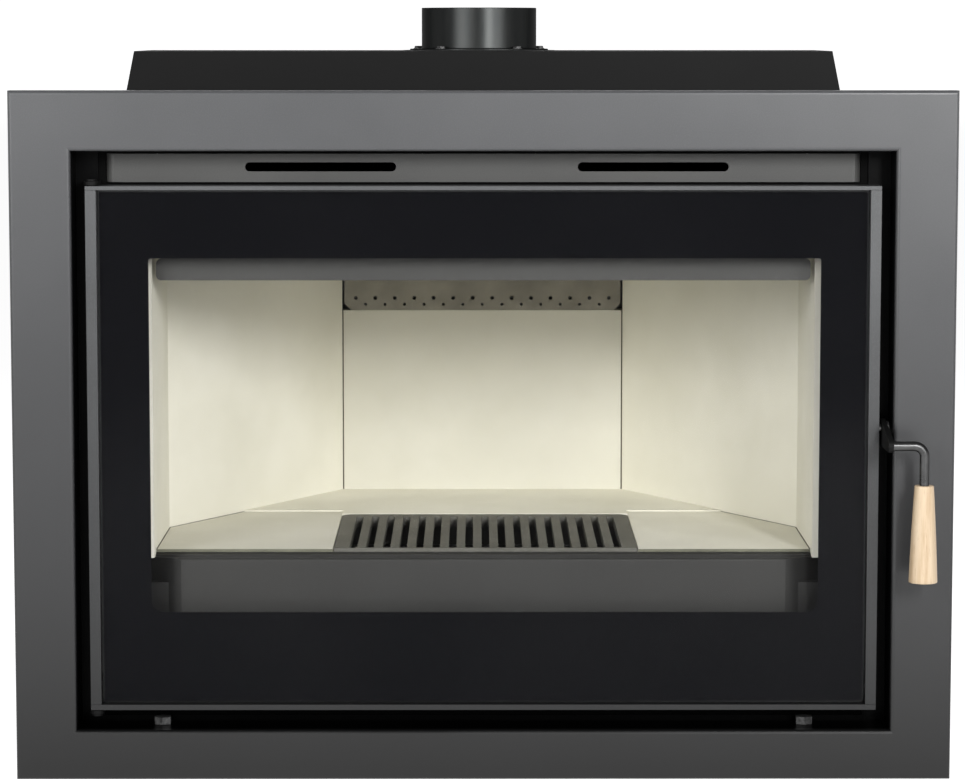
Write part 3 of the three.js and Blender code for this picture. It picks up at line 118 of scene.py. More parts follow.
class Nodes:
    """A new material's node tree, with short calls for the nodes that the finishes share."""

    def __init__(self, name):
        self.material = bpy.data.materials.new(name)
        self.material.use_nodes = True
        self.tree = self.material.node_tree
        self.shader = self.tree.nodes["Principled BSDF"]
        self.place = self.add("ShaderNodeTexCoord").outputs["Object"]

    def add(self, kind, **values):
        node = self.tree.nodes.new(kind)
        for key, value in values.items():
            setattr(node, key, value)
        return node

    def feed(self, socket, value):
        """Gives an input another node's output, a colour or a number."""
        if isinstance(value, bpy.types.NodeSocket):
            self.tree.links.new(value, socket)
        elif isinstance(value, tuple):
            socket.default_value = (*value, 1)
        else:
            socket.default_value = value

    def set(self, **values):
        """Feeds the shader's inputs; a name's underscores stand for spaces."""
        for key, value in values.items():
            self.feed(self.shader.inputs[key.replace("_", " ")], value)

    def stretched(self, stretch):
        """The place in the object, scaled along each axis."""
        node = self.add("ShaderNodeMapping")
        node.inputs["Scale"].default_value = stretch
        self.feed(node.inputs["Vector"], self.place)
        return node.outputs["Vector"]

    def noise(self, scale, detail=3.0, roughness=0.55, stretch=(1, 1, 1)):
        node = self.add("ShaderNodeTexNoise")
        self.feed(node.inputs["Scale"], scale)
        self.feed(node.inputs["Detail"], detail)
        self.feed(node.inputs["Roughness"], roughness)
        self.feed(node.inputs["Vector"], self.stretched(stretch))
        return node.outputs["Fac"]

    def cells(self, scale, stretch):
        node = self.add("ShaderNodeTexVoronoi")
        self.feed(node.inputs["Scale"], scale)
        self.feed(node.inputs["Vector"], self.stretched(stretch))
        return node.outputs["Distance"]

    def spread(self, value, low, high, start, end):
        """value between low and high becomes a value between start and end."""
        node = self.add("ShaderNodeMapRange")
        self.feed(node.inputs["From Min"], low)
        self.feed(node.inputs["From Max"], high)
        self.feed(node.inputs["To Min"], start)
        self.feed(node.inputs["To Max"], end)
        self.feed(node.inputs["Value"], value)
        return node.outputs["Result"]

    def ramp(self, value, *stops):
        """Colours a value by (position, colour) stops."""
        node = self.add("ShaderNodeValToRGB")
        points = node.color_ramp.elements
        while len(points) < len(stops):
            points.new(0.5)
        for point, (position, colour) in zip(points, stops):
            point.position = position
            point.color = (*colour, 1)
        self.feed(node.inputs["Fac"], value)
        return node.outputs["Color"]

    def mixed(self, factor, first, second):
        node = self.add("ShaderNodeMix", data_type="RGBA")
        self.feed(node.inputs[MIX_FACTOR], factor)
        self.feed(node.inputs[MIX_FIRST], first)
        self.feed(node.inputs[MIX_SECOND], second)
        return node.outputs[MIX_RESULT]

    def relief(self, height, strength, depth):
        """Adds a bump to the shader's normal, on top of any that it has."""
        node = self.add("ShaderNodeBump")
        normal = self.shader.inputs["Normal"]
        self.feed(node.inputs["Strength"], strength)
        self.feed(node.inputs["Distance"], depth)
        self.feed(node.inputs["Height"], height)
        if normal.is_linked:
            self.feed(node.inputs["Normal"], normal.links[0].from_socket)
        self.feed(normal, node.outputs["Normal"])

    def by_place(self, axis, reach, levels, name="Base Color"):
        """Multiplies an input by a level that runs from one to another along an axis."""
        place = self.add("ShaderNodeSeparateXYZ")
        self.feed(place.inputs["Vector"], self.place)
        level = self.spread(place.outputs[axis], *reach, *levels)
        target = self.shader.inputs[name]
        if target.is_linked:
            scaled = self.add("ShaderNodeVectorMath", operation="SCALE")
            self.feed(scaled.inputs[0], target.links[0].from_socket)
            self.feed(scaled.inputs["Scale"], level)
            self.feed(target, scaled.outputs["Vector"])
        else:
            scaled = self.add("ShaderNodeMath", operation="MULTIPLY")
            self.feed(scaled.inputs[0], target.default_value)
            self.feed(scaled.inputs[1], level)
            self.feed(target, scaled.outputs["Value"])


# ------------------------------------------------------------------ finishes

FINE_DEPTH = 0.2 * MM
GRAIN_DEPTH = 0.3 * MM
COARSE_DEPTH = 0.4 * MM
CAST_DEPTH = 0.5 * MM
ROPE_DEPTH = 1 * MM
BOARD_WAVE_DEPTH = 2 * MM

PAINT_GRAIN = 900.0
SPECK_LIGHTER = 1.5
RECESS_START, RECESS_END = 6 * MM, 12 * MM  # behind the face, where the surround's paint turns black as painted shade of the recess
# the lip's ends, and where the painted shade on each end starts
LIP_END, LIP_SHADE_START = 336 * MM, 322 * MM
LINING_SHADE = (0.38, 0.57)  # heights between which painted shade darkens the lining
LINING_SHADE_LEVELS = (1.0, 0.68)


# name: colour, roughness, strength of the grain's relief, specular level, spread of the tone
PAINTS = {
    "satin_anthracite": ((0.064, 0.065, 0.068), 0.34, 0.06, 0.45, 0.04),
    "door_paint": ((0.066, 0.068, 0.070), 0.34, 0.07, 0.4, 0.12),
    "inner_paint": ((0.062, 0.062, 0.060), 0.45, 0.22, 0.3, 0.12),
    "deflector_paint": ((0.046, 0.046, 0.0437), 0.5, 0.22, 0.25, 0.12),
    "lip_paint": ((0.030, 0.030, 0.0285), 0.5, 0.22, 0.25, 0.12),
    "casing_paint": (grey(0.022), 0.5, 0.2, 0.3, 0.12),
    "dark_stove_paint": (grey(0.005), 0.55, 0.2, 0.1, 0.12),
    # a darker, duller copy of the stove paint: painted shade of the recess
    "recess_shade_black": (grey(0.003), 0.7, 0.2, 0.04, 0.12),
}


def painted(name):
    """Powder coat or stove paint on sheet steel: fine texture, faint clouds of tone and sheen."""
    colour, roughness, grain_relief, specular, variation = PAINTS[name]
    n = Nodes(name)
    clouds = n.noise(6.0, detail=4.0)
    fine = n.noise(PAINT_GRAIN, detail=2.0)
    tone = n.ramp(clouds, (0.3, times(colour, 1 - variation)), (0.7, times(colour, 1 + variation)))
    speckled = n.spread(fine, 0.45, 0.75, 0.0, 0.5)
    n.set(
        Base_Color=n.mixed(speckled, tone, times(colour, SPECK_LIGHTER)),
        Roughness=n.spread(clouds, 0.25, 0.75, roughness - 0.04, roughness + 0.05),
        Specular_IOR_Level=specular,
    )
    n.relief(fine, grain_relief, FINE_DEPTH)
    return n


def surround_paint():
    """Satin anthracite, with painted light that makes it paler towards the top, and painted shade
    that makes it matt black inside the recess.
    """
    n = painted("satin_anthracite")
    # painted light: the tone runs from black at the bottom edge to a little above full at the top
    n.by_place("Z", (0.0, SURROUND_HIGH.z), (-0.02, 1.07))
    recess = (FACE_Y + RECESS_START, FACE_Y + RECESS_END)
    # painted shade: in the recess the tone falls to 0.04 and the sheen to 0.1
    n.by_place("Y", recess, (1.0, 0.04))
    n.by_place("Y", recess, (1.0, 0.1), "Specular IOR Level")
    return n.material


def door_paint():
    """The door frame's anthracite, with painted light that makes it paler towards the top like the
    surround's.
    """
    n = painted("door_paint")
    # painted light: the tone runs from black at the bottom to 1.3 times full at the top
    n.by_place("Z", (0.0, SURROUND_HIGH.z), (0.0, 1.3))
    return n.material


def lip_paint():
    """The hearth lip's paint, with painted shade that darkens its ends where they turn in behind
    the door.
    """
    n = painted("lip_paint")
    # painted shade: the tone falls to 0.3 towards each end
    n.by_place("X", (-LIP_END, -LIP_SHADE_START), (0.3, 1.0))
    n.by_place("X", (LIP_SHADE_START, LIP_END), (1.0, 0.3))
    return n.material


def collar_steel():
    """Blued steel of the flue collar: near black, with soft upright highlights."""
    n = Nodes("collar_black")
    brushed = n.noise(160.0, stretch=(1, 1, 0.1))
    n.set(
        Base_Color=n.ramp(brushed, (0.3, (0.029, 0.031, 0.031)), (0.7, (0.037, 0.038, 0.037))),
        Metallic=0.85,
        Roughness=n.spread(brushed, 0.3, 0.7, 0.30, 0.36),
        Specular_Tint=grey(0.02),
    )
    n.relief(brushed, 0.05, FINE_DEPTH)
    return n.material


def rod_steel():
    """The handle's rod: black steel, smooth enough for a bright line along its middle."""
    n = Nodes("polished_black")
    worn = n.noise(60.0)
    n.set(
        Base_Color=n.ramp(worn, (0.3, grey(0.06)), (0.7, grey(0.10))),
        Metallic=0.9,
        Roughness=n.spread(worn, 0.3, 0.7, 0.26, 0.36),
        Specular_Tint=grey(0.05),
    )
    n.relief(worn, 0.05, FINE_DEPTH)
    return n.material


def perforated_steel():
    """The air plate over the back board: warm grey steel, darkened as painted shade from the
    deflector above it.
    """
    n = Nodes("perforated_steel")
    warm_blotches = n.noise(22.0, detail=4.0)
    fine = n.noise(800.0, detail=2.0)
    n.set(
        # painted shade: a darker tone than the zinc fittings
        Base_Color=n.ramp(warm_blotches, (0.3, (0.16, 0.148, 0.118)), (0.7, (0.25, 0.235, 0.19))),
        Metallic=0.25,
        Roughness=n.spread(fine, 0.3, 0.7, 0.5, 0.65),
    )
    n.relief(fine, 0.15, FINE_DEPTH)
    return n.material


def bolt_steel():
    """Blackened bolts, a little worn."""
    n = Nodes("bolt_steel")
    worn = n.noise(240.0)
    n.set(
        Base_Color=n.ramp(worn, (0.35, grey(0.035)), (0.75, grey(0.12))),
        Metallic=0.6,
        Roughness=n.spread(worn, 0.3, 0.7, 0.35, 0.5),
    )
    n.relief(worn, 0.1, FINE_DEPTH)
    return n.material


def zinc_steel():
    """Bright zinc on small fittings."""
    n = Nodes("zinc_steel")
    brushed = n.noise(260.0, stretch=(1, 1, 12))
    n.set(
        Base_Color=n.ramp(brushed, (0.3, grey(0.2)), (0.7, grey(0.36))),
        Metallic=0.9,
        Roughness=n.spread(brushed, 0.3, 0.7, 0.3, 0.5),
    )
    n.relief(brushed, 0.1, FINE_DEPTH)
    return n.material


def cast_iron():
    """Sand-cast grey iron of the grate, with rust-dull patches and dark grains."""
    n = Nodes("cast_iron")
    sand = n.noise(700.0, detail=4.0, roughness=0.65)
    patches = n.noise(18.0, detail=4.0)
    tone = n.ramp(patches, (0.3, (0.125, 0.122, 0.105)), (0.72, (0.18, 0.177, 0.155)))
    n.set(
        Base_Color=n.mixed(n.spread(sand, 0.35, 0.75, 0.0, 0.5), tone, (0.045, 0.044, 0.038)),
        Metallic=0.25,
        Roughness=n.spread(sand, 0.3, 0.7, 0.62, 0.85),
    )
    n.relief(sand, 0.5, CAST_DEPTH)
    return n.material


def joint_soot():
    """Soot and board dust in the open joints of the lining."""
    n = Nodes("joint_soot")
    grit = n.noise(300.0, detail=4.0)
    tone = n.ramp(grit, (0.3, (0.055, 0.048, 0.034)), (0.7, (0.16, 0.135, 0.095)))
    n.set(Base_Color=tone, Roughness=0.95)
    n.relief(grit, 0.4, COARSE_DEPTH)
    return n.material


def board_edge():
    """The floor boards' front edge, darkened by painted shade on its face and by grime."""
    n = Nodes("board_edge")
    shade_and_grime = n.noise(45.0, detail=4.0)
    # painted shade with grime: dark olive along the edge
    tone = n.ramp(shade_and_grime, (0.3, (0.13, 0.13, 0.095)), (0.7, (0.19, 0.19, 0.14)))
    n.set(Base_Color=tone, Roughness=0.9)
    n.relief(shade_and_grime, 0.2, COARSE_DEPTH)
    return n.material


def vermiculite(name, painted_light_level=1.0):
    """Pressed mineral board: pale cream with flakes and pores, and painted shade that darkens it
    high up in the firebox; the level scales its tone as painted light or shade for one board.
    """
    n = Nodes(name)
    flakes = n.cells(420.0, stretch=(1, 1, 1.6))
    mottling = n.noise(9.0, detail=5.0, roughness=0.6)
    pores = n.noise(950.0, roughness=0.6)
    # painted light or shade: the level scales the board's whole tone
    base = n.ramp(mottling, (0.28, times((0.82, 0.80, 0.69), painted_light_level)),
                  (0.72, times((0.90, 0.88, 0.78), painted_light_level)))
    flecked = n.mixed(n.spread(flakes, 0.12, 0.0, 0.0, 0.35), base, (0.55, 0.50, 0.38))
    n.set(
        Base_Color=n.mixed(n.spread(pores, 0.62, 0.8, 0.0, 0.35), flecked, (0.42, 0.39, 0.31)),
        Roughness=0.95,
        Specular_IOR_Level=0.2,
    )
    # painted shade: darker towards the top of the firebox
    n.by_place("Z", LINING_SHADE, LINING_SHADE_LEVELS)
    n.relief(mottling, 0.15, BOARD_WAVE_DEPTH)
    n.relief(pores, 0.35, COARSE_DEPTH)
    return n.material


def clear_glass():
    """Thin clear pane: mostly see-through, with faint smears that catch the light."""
    n = Nodes("clear_glass")
    smears = n.noise(3.5, detail=4.0, roughness=0.6, stretch=(1, 1, 0.6))
    opacity = n.spread(smears, 0.35, 0.75, 0.012, 0.03)
    n.set(Base_Color=grey(0.03), Roughness=0.03, Alpha=opacity)
    return n.material


def black_enamel():
    """The printed border of the glass."""
    n = Nodes("black_enamel")
    clouds = n.noise(4.0)
    n.set(
        Base_Color=n.ramp(clouds, (0.3, (0.0030, 0.0032, 0.0042)), (0.7, (0.0040, 0.0041, 0.0052))),
        Roughness=n.spread(clouds, 0.3, 0.7, 0.06, 0.1),
        Specular_IOR_Level=0.035,
    )
    return n.material


def ceramic_rope():
    """Dark glass-fibre rope and tape."""
    n = Nodes("ceramic_rope")
    strands = n.noise(500.0, roughness=0.6, stretch=(1, 2, 1))
    n.set(Base_Color=n.ramp(strands, (0.35, grey(0.02)), (0.7, grey(0.06))), Roughness=0.95)
    n.relief(strands, 0.7, ROPE_DEPTH)
    return n.material


def beech():
    """Oiled beech: long pale grain along the grip, with short darker flecks."""
    n = Nodes("beech")
    waver = n.noise(14.0, roughness=0.5, stretch=(1, 1, 0.15))
    grain = n.noise(55.0, detail=5.0, roughness=0.6, stretch=(3.0, 3.0, 0.12))
    flecks = n.noise(330.0, detail=2.0, roughness=0.5, stretch=(2.2, 2.2, 0.16))
    tone = n.ramp(grain, (0.3, (0.47, 0.33, 0.20)), (0.55, (0.61, 0.48, 0.33)),
                  (0.75, (0.68, 0.57, 0.42)))
    warm = n.mixed(n.spread(waver, 0.35, 0.7, 0.0, 0.4), tone, (0.56, 0.40, 0.24))
    n.set(
        Base_Color=n.mixed(n.spread(flecks, 0.6, 0.75, 0.0, 0.55), warm, (0.34, 0.21, 0.11)),
        Roughness=n.spread(grain, 0.3, 0.7, 0.42, 0.55),
    )
    n.relief(flecks, 0.12, GRAIN_DEPTH)
    return n.material


# one finish for each material slot of the record
FINISHES = {
    "satin_steel": surround_paint(),
    "dark_steel": painted("dark_stove_paint").material,
    "door_steel": door_paint(),
    "inner_steel": painted("inner_paint").material,
    "bare_steel": zinc_steel(),
    "cast_iron": cast_iron(),
    "vermiculite": vermiculite("vermiculite"),
    "clear_glass": clear_glass(),
    "black_enamel": black_enamel(),
    "ceramic_rope": ceramic_rope(),
    "beech": beech(),
}
LIP_PAINT = lip_paint()
COLLAR_STEEL = collar_steel()
BOLT_STEEL = bolt_steel()
ROD_STEEL = rod_steel()
JOINT_SOOT = joint_soot()
BOARD_EDGE_SHADE = board_edge()
CASING_PAINT = painted("casing_paint").material

# nodes that look unlike the rest of their slot
OWN_FINISHES = {
    "hearth_lip": LIP_PAINT,
    "airwash_deflector": painted("deflector_paint").material,
    # the front plate, deep in the recess, wears painted shade
    "front_frame_plate": painted("recess_shade_black").material,
    "flue_collar": COLLAR_STEEL,
    "handle_rod": ROD_STEEL,
    "hinge_pin_top": FINISHES["dark_steel"],
    "hinge_pin_bottom": FINISHES["dark_steel"],
    "secondary_air_plate": perforated_steel(),
    # lighter and darker copies of the board as painted light and shade: the back and left floor
    # boards darker, the right side board lighter
    "back_board": vermiculite("back_vermiculite_shaded", 0.89),
    "side_board_right": vermiculite("right_vermiculite_lit", 1.05),
    "floor_board_left": vermiculite("left_floor_vermiculite_shaded", 0.88),
}
for casing_side in ("left", "right", "back", "base"):
    OWN_FINISHES[f"casing_{casing_side}"] = CASING_PAINT
for bolt_place in ("front_left", "front_right", "rear_left", "rear_right"):
    OWN_FINISHES[f"levelling_bolt_{bolt_place}"] = BOLT_STEEL


def dress_nodes():
    """Gives each CAD node its own finish, or that of its material slot."""
    for part in frame["record"]["subparts"]:
        mesh = NODES[part["node"]].data
        mesh.materials.clear()
        mesh.materials.append(OWN_FINISHES.get(part["node"]) or FINISHES[part["material_slot"]])


# ------------------------------------------------------------------ edges of the CAD nodes

# radius in millimetres: nodes
EDGE_RADII = {
    0.4: ("secondary_air_plate",),
    0.5: ("casing_left", "casing_right", "casing_back", "air_outlet_plate", "ash_pan", "ash_box",
          "door_glass", "hinge_bracket_top", "hinge_bracket_bottom"),
    0.6: ("front_frame_plate",),
    0.7: ("latch_lever",),
    0.8: ("hood", "back_board", "side_board_left", "side_board_right", "front_return_board_left",
          "front_return_board_right", "grate", "door_stile_left", "door_stile_right",
          "door_rail_top", "door_rail_bottom"),
    0.9: ("hearth_lip", "floor_board_left", "floor_board_right", "floor_board_back",
          "baffle_board"),
    1.2: ("airwash_deflector",),
}
EDGE_SEGMENTS = 2
SMOOTH_BELOW = math.radians(32)


def shade(mesh):
    """Smooth shading over shallow bends, and sharp edges elsewhere."""
    mesh.polygons.foreach_set("use_smooth", [True] * len(mesh.polygons))
    mesh.set_sharp_from_angle(angle=SMOOTH_BELOW)


def soften_edges():
    """Small rounds on cut and folded edges."""
    for radius, names in EDGE_RADII.items():
        for name in names:
            bevel = NODES[name].modifiers.new("edge_round", "BEVEL")
            bevel.width = radius * MM
            bevel.segments = EDGE_SEGMENTS
            bevel.limit_method = "ANGLE"
            bevel.angle_limit = SMOOTH_BELOW
    for node in NODES.values():
        shade(node.data)


# ------------------------------------------------------------------ mesh helpers

SIDES = ((-1, "left"), (1, "right"))


def add_piece(name, bm, body, finish, slot, *nodes):
    """A mesh that rides on a body, and stands for the CAD nodes that it names."""
    bmesh.ops.recalc_face_normals(bm, faces=bm.faces)
    mesh = bpy.data.meshes.new(name)
    bm.to_mesh(mesh)
    bm.free()
    shade(mesh)
    mesh.materials.append(finish)
    piece = bpy.data.objects.new(name, mesh)
    SCENE.collection.objects.link(piece)
    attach(piece, body)
    if nodes:
        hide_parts(*nodes)


def join_rings(bm, rings, capped=False):
    """Faces between successive rings of corners; a ring of one corner closes to a point."""
    for lower, upper in zip(rings, rings[1:]):
        for i in range(max(len(lower), len(upper))):
            corners = [lower[i % len(lower)], lower[(i + 1) % len(lower)],
                       upper[(i + 1) % len(upper)], upper[i % len(upper)]]
            bm.faces.new(list(dict.fromkeys(corners)))
    if capped:
        bm.faces.new(rings[0])
        bm.faces.new(rings[-1])


def round_ring(bm, middle, radius, sides, start=0.0):
    """Corners on a level circle."""
    angles = [start + 2 * math.pi * i / sides for i in range(sides)]
    return [bm.verts.new(middle + radius * Vector((math.cos(a), math.sin(a), 0))) for a in angles]


def add_turned(bm, profile, middle, sides):
    """Turns a closed profile of (radius, height) points about the upright line through middle."""
    rings = []
    for radius, height in profile:
        level = Vector((middle.x, middle.y, height))
        rings.append(round_ring(bm, level, radius, sides) if radius else [bm.verts.new(level)])
    reaches_line = any(len(ring) == 1 for ring in rings)
    join_rings(bm, rings if reaches_line else rings + rings[:1])


def add_prism(bm, outline, bottom, top):
    """An upright bar with an outline of (x, y) points."""
    rings = [[bm.verts.new((x, y, z)) for x, y in outline] for z in (bottom, top)]
    join_rings(bm, rings, capped=True)


def rectangle(x0, x1, y0, y1):
    return [(x0, y0), (x1, y0), (x1, y1), (x0, y1)]


def quarter_turn(steps):
    """Sine and cosine of the angles from 0 to 90 degrees."""
    angles = [math.pi / 2 * i / steps for i in range(steps + 1)]
    return [(math.sin(a), math.cos(a)) for a in angles]


# ------------------------------------------------------------------ flue collar and its bolts

COLLAR_RADIUS = 63 * MM
COLLAR_WALL = 3 * MM
COLLAR_EDGE = 0.4 * MM
COLLAR_SIDES = 96
FLANGE_SHEET = 1.5 * MM
GASKET_SHEET = 0.4 * MM
GASKET_PLAY = 0.2 * MM
BOLT_COUNT = 5
WASHER_RADIUS = 5.4 * MM
WASHER_HEIGHT = 0.8 * MM
WASHER_EDGE = 0.2 * MM
WASHER_SIDES = 24
HEXAGON_RADIUS = 8 * MM / math.sqrt(3)  # 8 mm across the flats
HEXAGON_HEIGHT = 2.2 * MM
HEXAGON_START = 0.4  # radians
HEXAGON_TURNED_OFF = 0.84  # share of the radius that the corners keep at the top
HEXAGON_FULL = 0.78  # share of the height below that
SHANK_RADIUS = 3 * MM
SHANK_SIDES = 16
SHANK_BELOW_HOOD = 6 * MM
BOLT_PLAY = 0.02 * MM


def add_bolt(bm, middle, seat):
    """A bolt with a thin washer and a hexagon head whose corners are turned off at the top."""
    washer_top = seat + WASHER_HEIGHT
    add_turned(bm, [
        (0, seat), (WASHER_RADIUS, seat), (WASHER_RADIUS, washer_top - WASHER_EDGE),
        (WASHER_RADIUS - WASHER_EDGE, washer_top), (0, washer_top),
    ], middle, WASHER_SIDES)
    levels = ((1.0, BOLT_PLAY), (1.0, HEXAGON_FULL * HEXAGON_HEIGHT),
              (HEXAGON_TURNED_OFF, HEXAGON_HEIGHT))
    join_rings(bm, [
        round_ring(bm, Vector((middle.x, middle.y, washer_top + rise)), share * HEXAGON_RADIUS,
                   6, HEXAGON_START)
        for share, rise in levels
    ], capped=True)
    foot, head = HOOD_TOP - SHANK_BELOW_HOOD, seat - BOLT_PLAY
    shank = [(0, foot), (SHANK_RADIUS, foot), (SHANK_RADIUS, head), (0, head)]
    add_turned(bm, shank, middle, SHANK_SIDES)


def build_collar():
    """The turned collar with its thin flange, the gasket under it, and its bolts."""
    centre = (COLLAR_LOW + COLLAR_HIGH) / 2
    flange = (COLLAR_HIGH.x - COLLAR_LOW.x) / 2
    outside, bore, edge = COLLAR_RADIUS, COLLAR_RADIUS - COLLAR_WALL, COLLAR_EDGE
    seat = HOOD_TOP + GASKET_PLAY
    foot = seat + GASKET_SHEET
    top = foot + FLANGE_SHEET
    rim = COLLAR_HIGH.z
    bm = bmesh.new()
    add_turned(bm, [
        (bore, COLLAR_LOW.z), (outside, COLLAR_LOW.z), (outside, foot), (flange - edge, foot),
        (flange, foot + edge), (flange, top - edge), (flange - edge, top),
        (outside + 4 * edge, top), (outside + edge, top + edge), (outside, top + 4 * edge),
        (outside, rim - 2 * edge), (outside - edge / 2, rim - edge / 2), (outside - 2 * edge, rim),
        (bore + 2 * edge, rim), (bore + edge / 2, rim - edge / 2), (bore, rim - 2 * edge),
    ], centre, COLLAR_SIDES)
    add_piece("flue_collar_turned", bm, "casing", COLLAR_STEEL, "dark_steel", "flue_collar")

    gasket_low, gasket_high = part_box("collar_gasket")
    outer = (gasket_high.x - gasket_low.x) / 2
    bm = bmesh.new()
    add_turned(bm, [
        (outside + edge, seat), (outer, seat), (outer, seat + GASKET_SHEET / 2),
        (outer - edge, foot), (outside + edge, foot),
    ], centre, COLLAR_SIDES)
    add_piece("collar_gasket_thin", bm, "casing", FINISHES["ceramic_rope"], "ceramic_rope",
              "collar_gasket")

    for i in range(1, BOLT_COUNT + 1):
        bm = bmesh.new()
        add_bolt(bm, centre_of(f"collar_bolt_{i}"), top)
        add_piece(f"collar_bolt_head_{i}", bm, "casing", BOLT_STEEL, "bare_steel",
                  f"collar_bolt_{i}")


# ------------------------------------------------------------------ handle

ROD_RADIUS = (ROD_HIGH.y - ROD_LOW.y) / 2
ROD_BEND = 11 * MM
ROD_BEND_STEPS = 16
ROD_SIDES = 24
ROD_RING_STEP = 6 * MM  # from the bend, and from the grip, to the next ring of the straight rod
GRIP_LIFT = 1.2 * MM  # the grip's end stands this much above the solid's
GRIP_NARROW_RADIUS = 10.2 * MM
GRIP_BELLY = 0.35 * MM
GRIP_STEPS = 24
GRIP_ROUND = 1.2 * MM
GRIP_ROUND_STEPS = 6
GRIP_SIDES = 64
GRIP_BORE_PLAY = 0.25 * MM
GRIP_BORE_PAST_ROD = 0.3 * MM


def build_rod():
    """The rod: out of the lever, round a quarter turn and down into the grip."""
    x, z = ROD_HIGH.x - ROD_RADIUS, ROD_HIGH.z - ROD_RADIUS
    y = (ROD_LOW.y + ROD_HIGH.y) / 2
    path = [Vector((ROD_LOW.x, y, z)), Vector((x - ROD_BEND - ROD_RING_STEP, y, z))]
    for sine, cosine in quarter_turn(ROD_BEND_STEPS):
        path.append(Vector((x - ROD_BEND * (1 - sine), y, z - ROD_BEND * (1 - cosine))))
    path += [Vector((x, y, GRIP_HIGH.z + ROD_RING_STEP)), Vector((x, y, ROD_LOW.z))]

    bm = bmesh.new()
    across = Vector((0, 1, 0))
    rings = []
    for i, point in enumerate(path):
        along = (path[min(i + 1, len(path) - 1)] - path[max(i - 1, 0)]).normalized()
        up = along.cross(across)
        angles = [2 * math.pi * k / ROD_SIDES for k in range(ROD_SIDES)]
        rings.append([bm.verts.new(point + ROD_RADIUS * (math.cos(a) * across + math.sin(a) * up))
                      for a in angles])
    join_rings(bm, rings, capped=True)
    add_piece("handle_rod_bent", bm, "latch", ROD_STEEL, "dark_steel", "handle_rod")


def build_grip():
    """The turned grip: wide below, a slight belly, round edges, and a bore for the rod."""
    low, high = GRIP_LOW.z + GRIP_LIFT, GRIP_HIGH.z
    wide, narrow = (GRIP_HIGH.x - GRIP_LOW.x) / 2, GRIP_NARROW_RADIUS
    bore, bore_end = ROD_RADIUS + GRIP_BORE_PLAY, ROD_LOW.z - GRIP_BORE_PAST_ROD
    profile = [(0, low)]
    for sine, cosine in quarter_turn(GRIP_ROUND_STEPS):
        profile.append((wide - GRIP_ROUND * (1 - sine), low + GRIP_ROUND * (1 - cosine)))
    for i in range(1, GRIP_STEPS):
        share = i / GRIP_STEPS
        radius = wide + (narrow - wide) * share + GRIP_BELLY * math.sin(math.pi * share)
        profile.append((radius, low + GRIP_ROUND + (high - low - 2 * GRIP_ROUND) * share))
    for sine, cosine in quarter_turn(GRIP_ROUND_STEPS):
        profile.append((narrow - GRIP_ROUND * (1 - cosine), high - GRIP_ROUND * (1 - sine)))
    profile += [(bore, high), (bore, bore_end), (0, bore_end)]
    bm = bmesh.new()
    add_turned(bm, profile, (GRIP_LOW + GRIP_HIGH) / 2, GRIP_SIDES)
    add_piece("handle_grip_turned", bm, "latch", FINISHES["beech"], "beech", "handle_grip")


# ------------------------------------------------------------------ closers, joints and board edges

CLOSER_INNER, CLOSER_OUTER = 384 * MM, 402 * MM
CLOSER_FRONT, CLOSER_BACK = 0.06 * MM, 0.24 * MM  # behind the front plate
# thin cheeks beside the lip's ends, in the lip paint's darkest tone: painted shade
CHEEK_INNER, CHEEK_OUTER = LIP_END, 382.6 * MM
CHEEK_FRONT, CHEEK_BACK = 0.5 * MM, 0.15 * MM  # before the front plate
CHEEK_BELOW_BOARD = 0.3 * MM
JOINT_WIDTH = 1.2 * MM
FLOOR_JOINT_BELOW, FLOOR_JOINT_ABOVE = 0.5 * MM, 0.3 * MM
CORNER_JOINT_FRONT, CORNER_JOINT_BACK = 0.3 * MM, 0.2 * MM
BOARD_EDGE_FRONT, BOARD_EDGE_BACK = 0.35 * MM, 0.05 * MM  # from the lip's rear face
BOARD_EDGE_PLAY = 0.4 * MM
BOARD_EDGE_RISE = 0.1 * MM


def add_bar(name, outline, bottom, top, finish, slot):
    """A piece of the casing that is one upright bar."""
    bm = bmesh.new()
    add_prism(bm, outline, bottom, top)
    add_piece(name, bm, "casing", finish, slot)


def build_closers():
    """Strips that close the body beside the air outlet, and thin dark cheeks beside the lip's ends
    as painted shade.
    """
    for side, name in SIDES:
        x0, x1 = sorted((side * CLOSER_INNER, side * CLOSER_OUTER))
        outline = rectangle(x0, x1, PLATE_HIGH.y + CLOSER_FRONT, PLATE_HIGH.y + CLOSER_BACK)
        add_bar(f"outlet_closer_{name}", outline, OUTLET_BOTTOM, PLATE_HIGH.z,
                FINISHES["dark_steel"], "dark_steel")
        x0, x1 = sorted((side * CHEEK_INNER, side * CHEEK_OUTER))
        outline = rectangle(x0, x1, PLATE_LOW.y - CHEEK_FRONT, PLATE_LOW.y - CHEEK_BACK)
        add_bar(f"lip_shade_cheek_{name}", outline, LIP_LOW.z, FLOOR_BOARD_LOW.z - CHEEK_BELOW_BOARD,
                LIP_PAINT, "inner_steel")


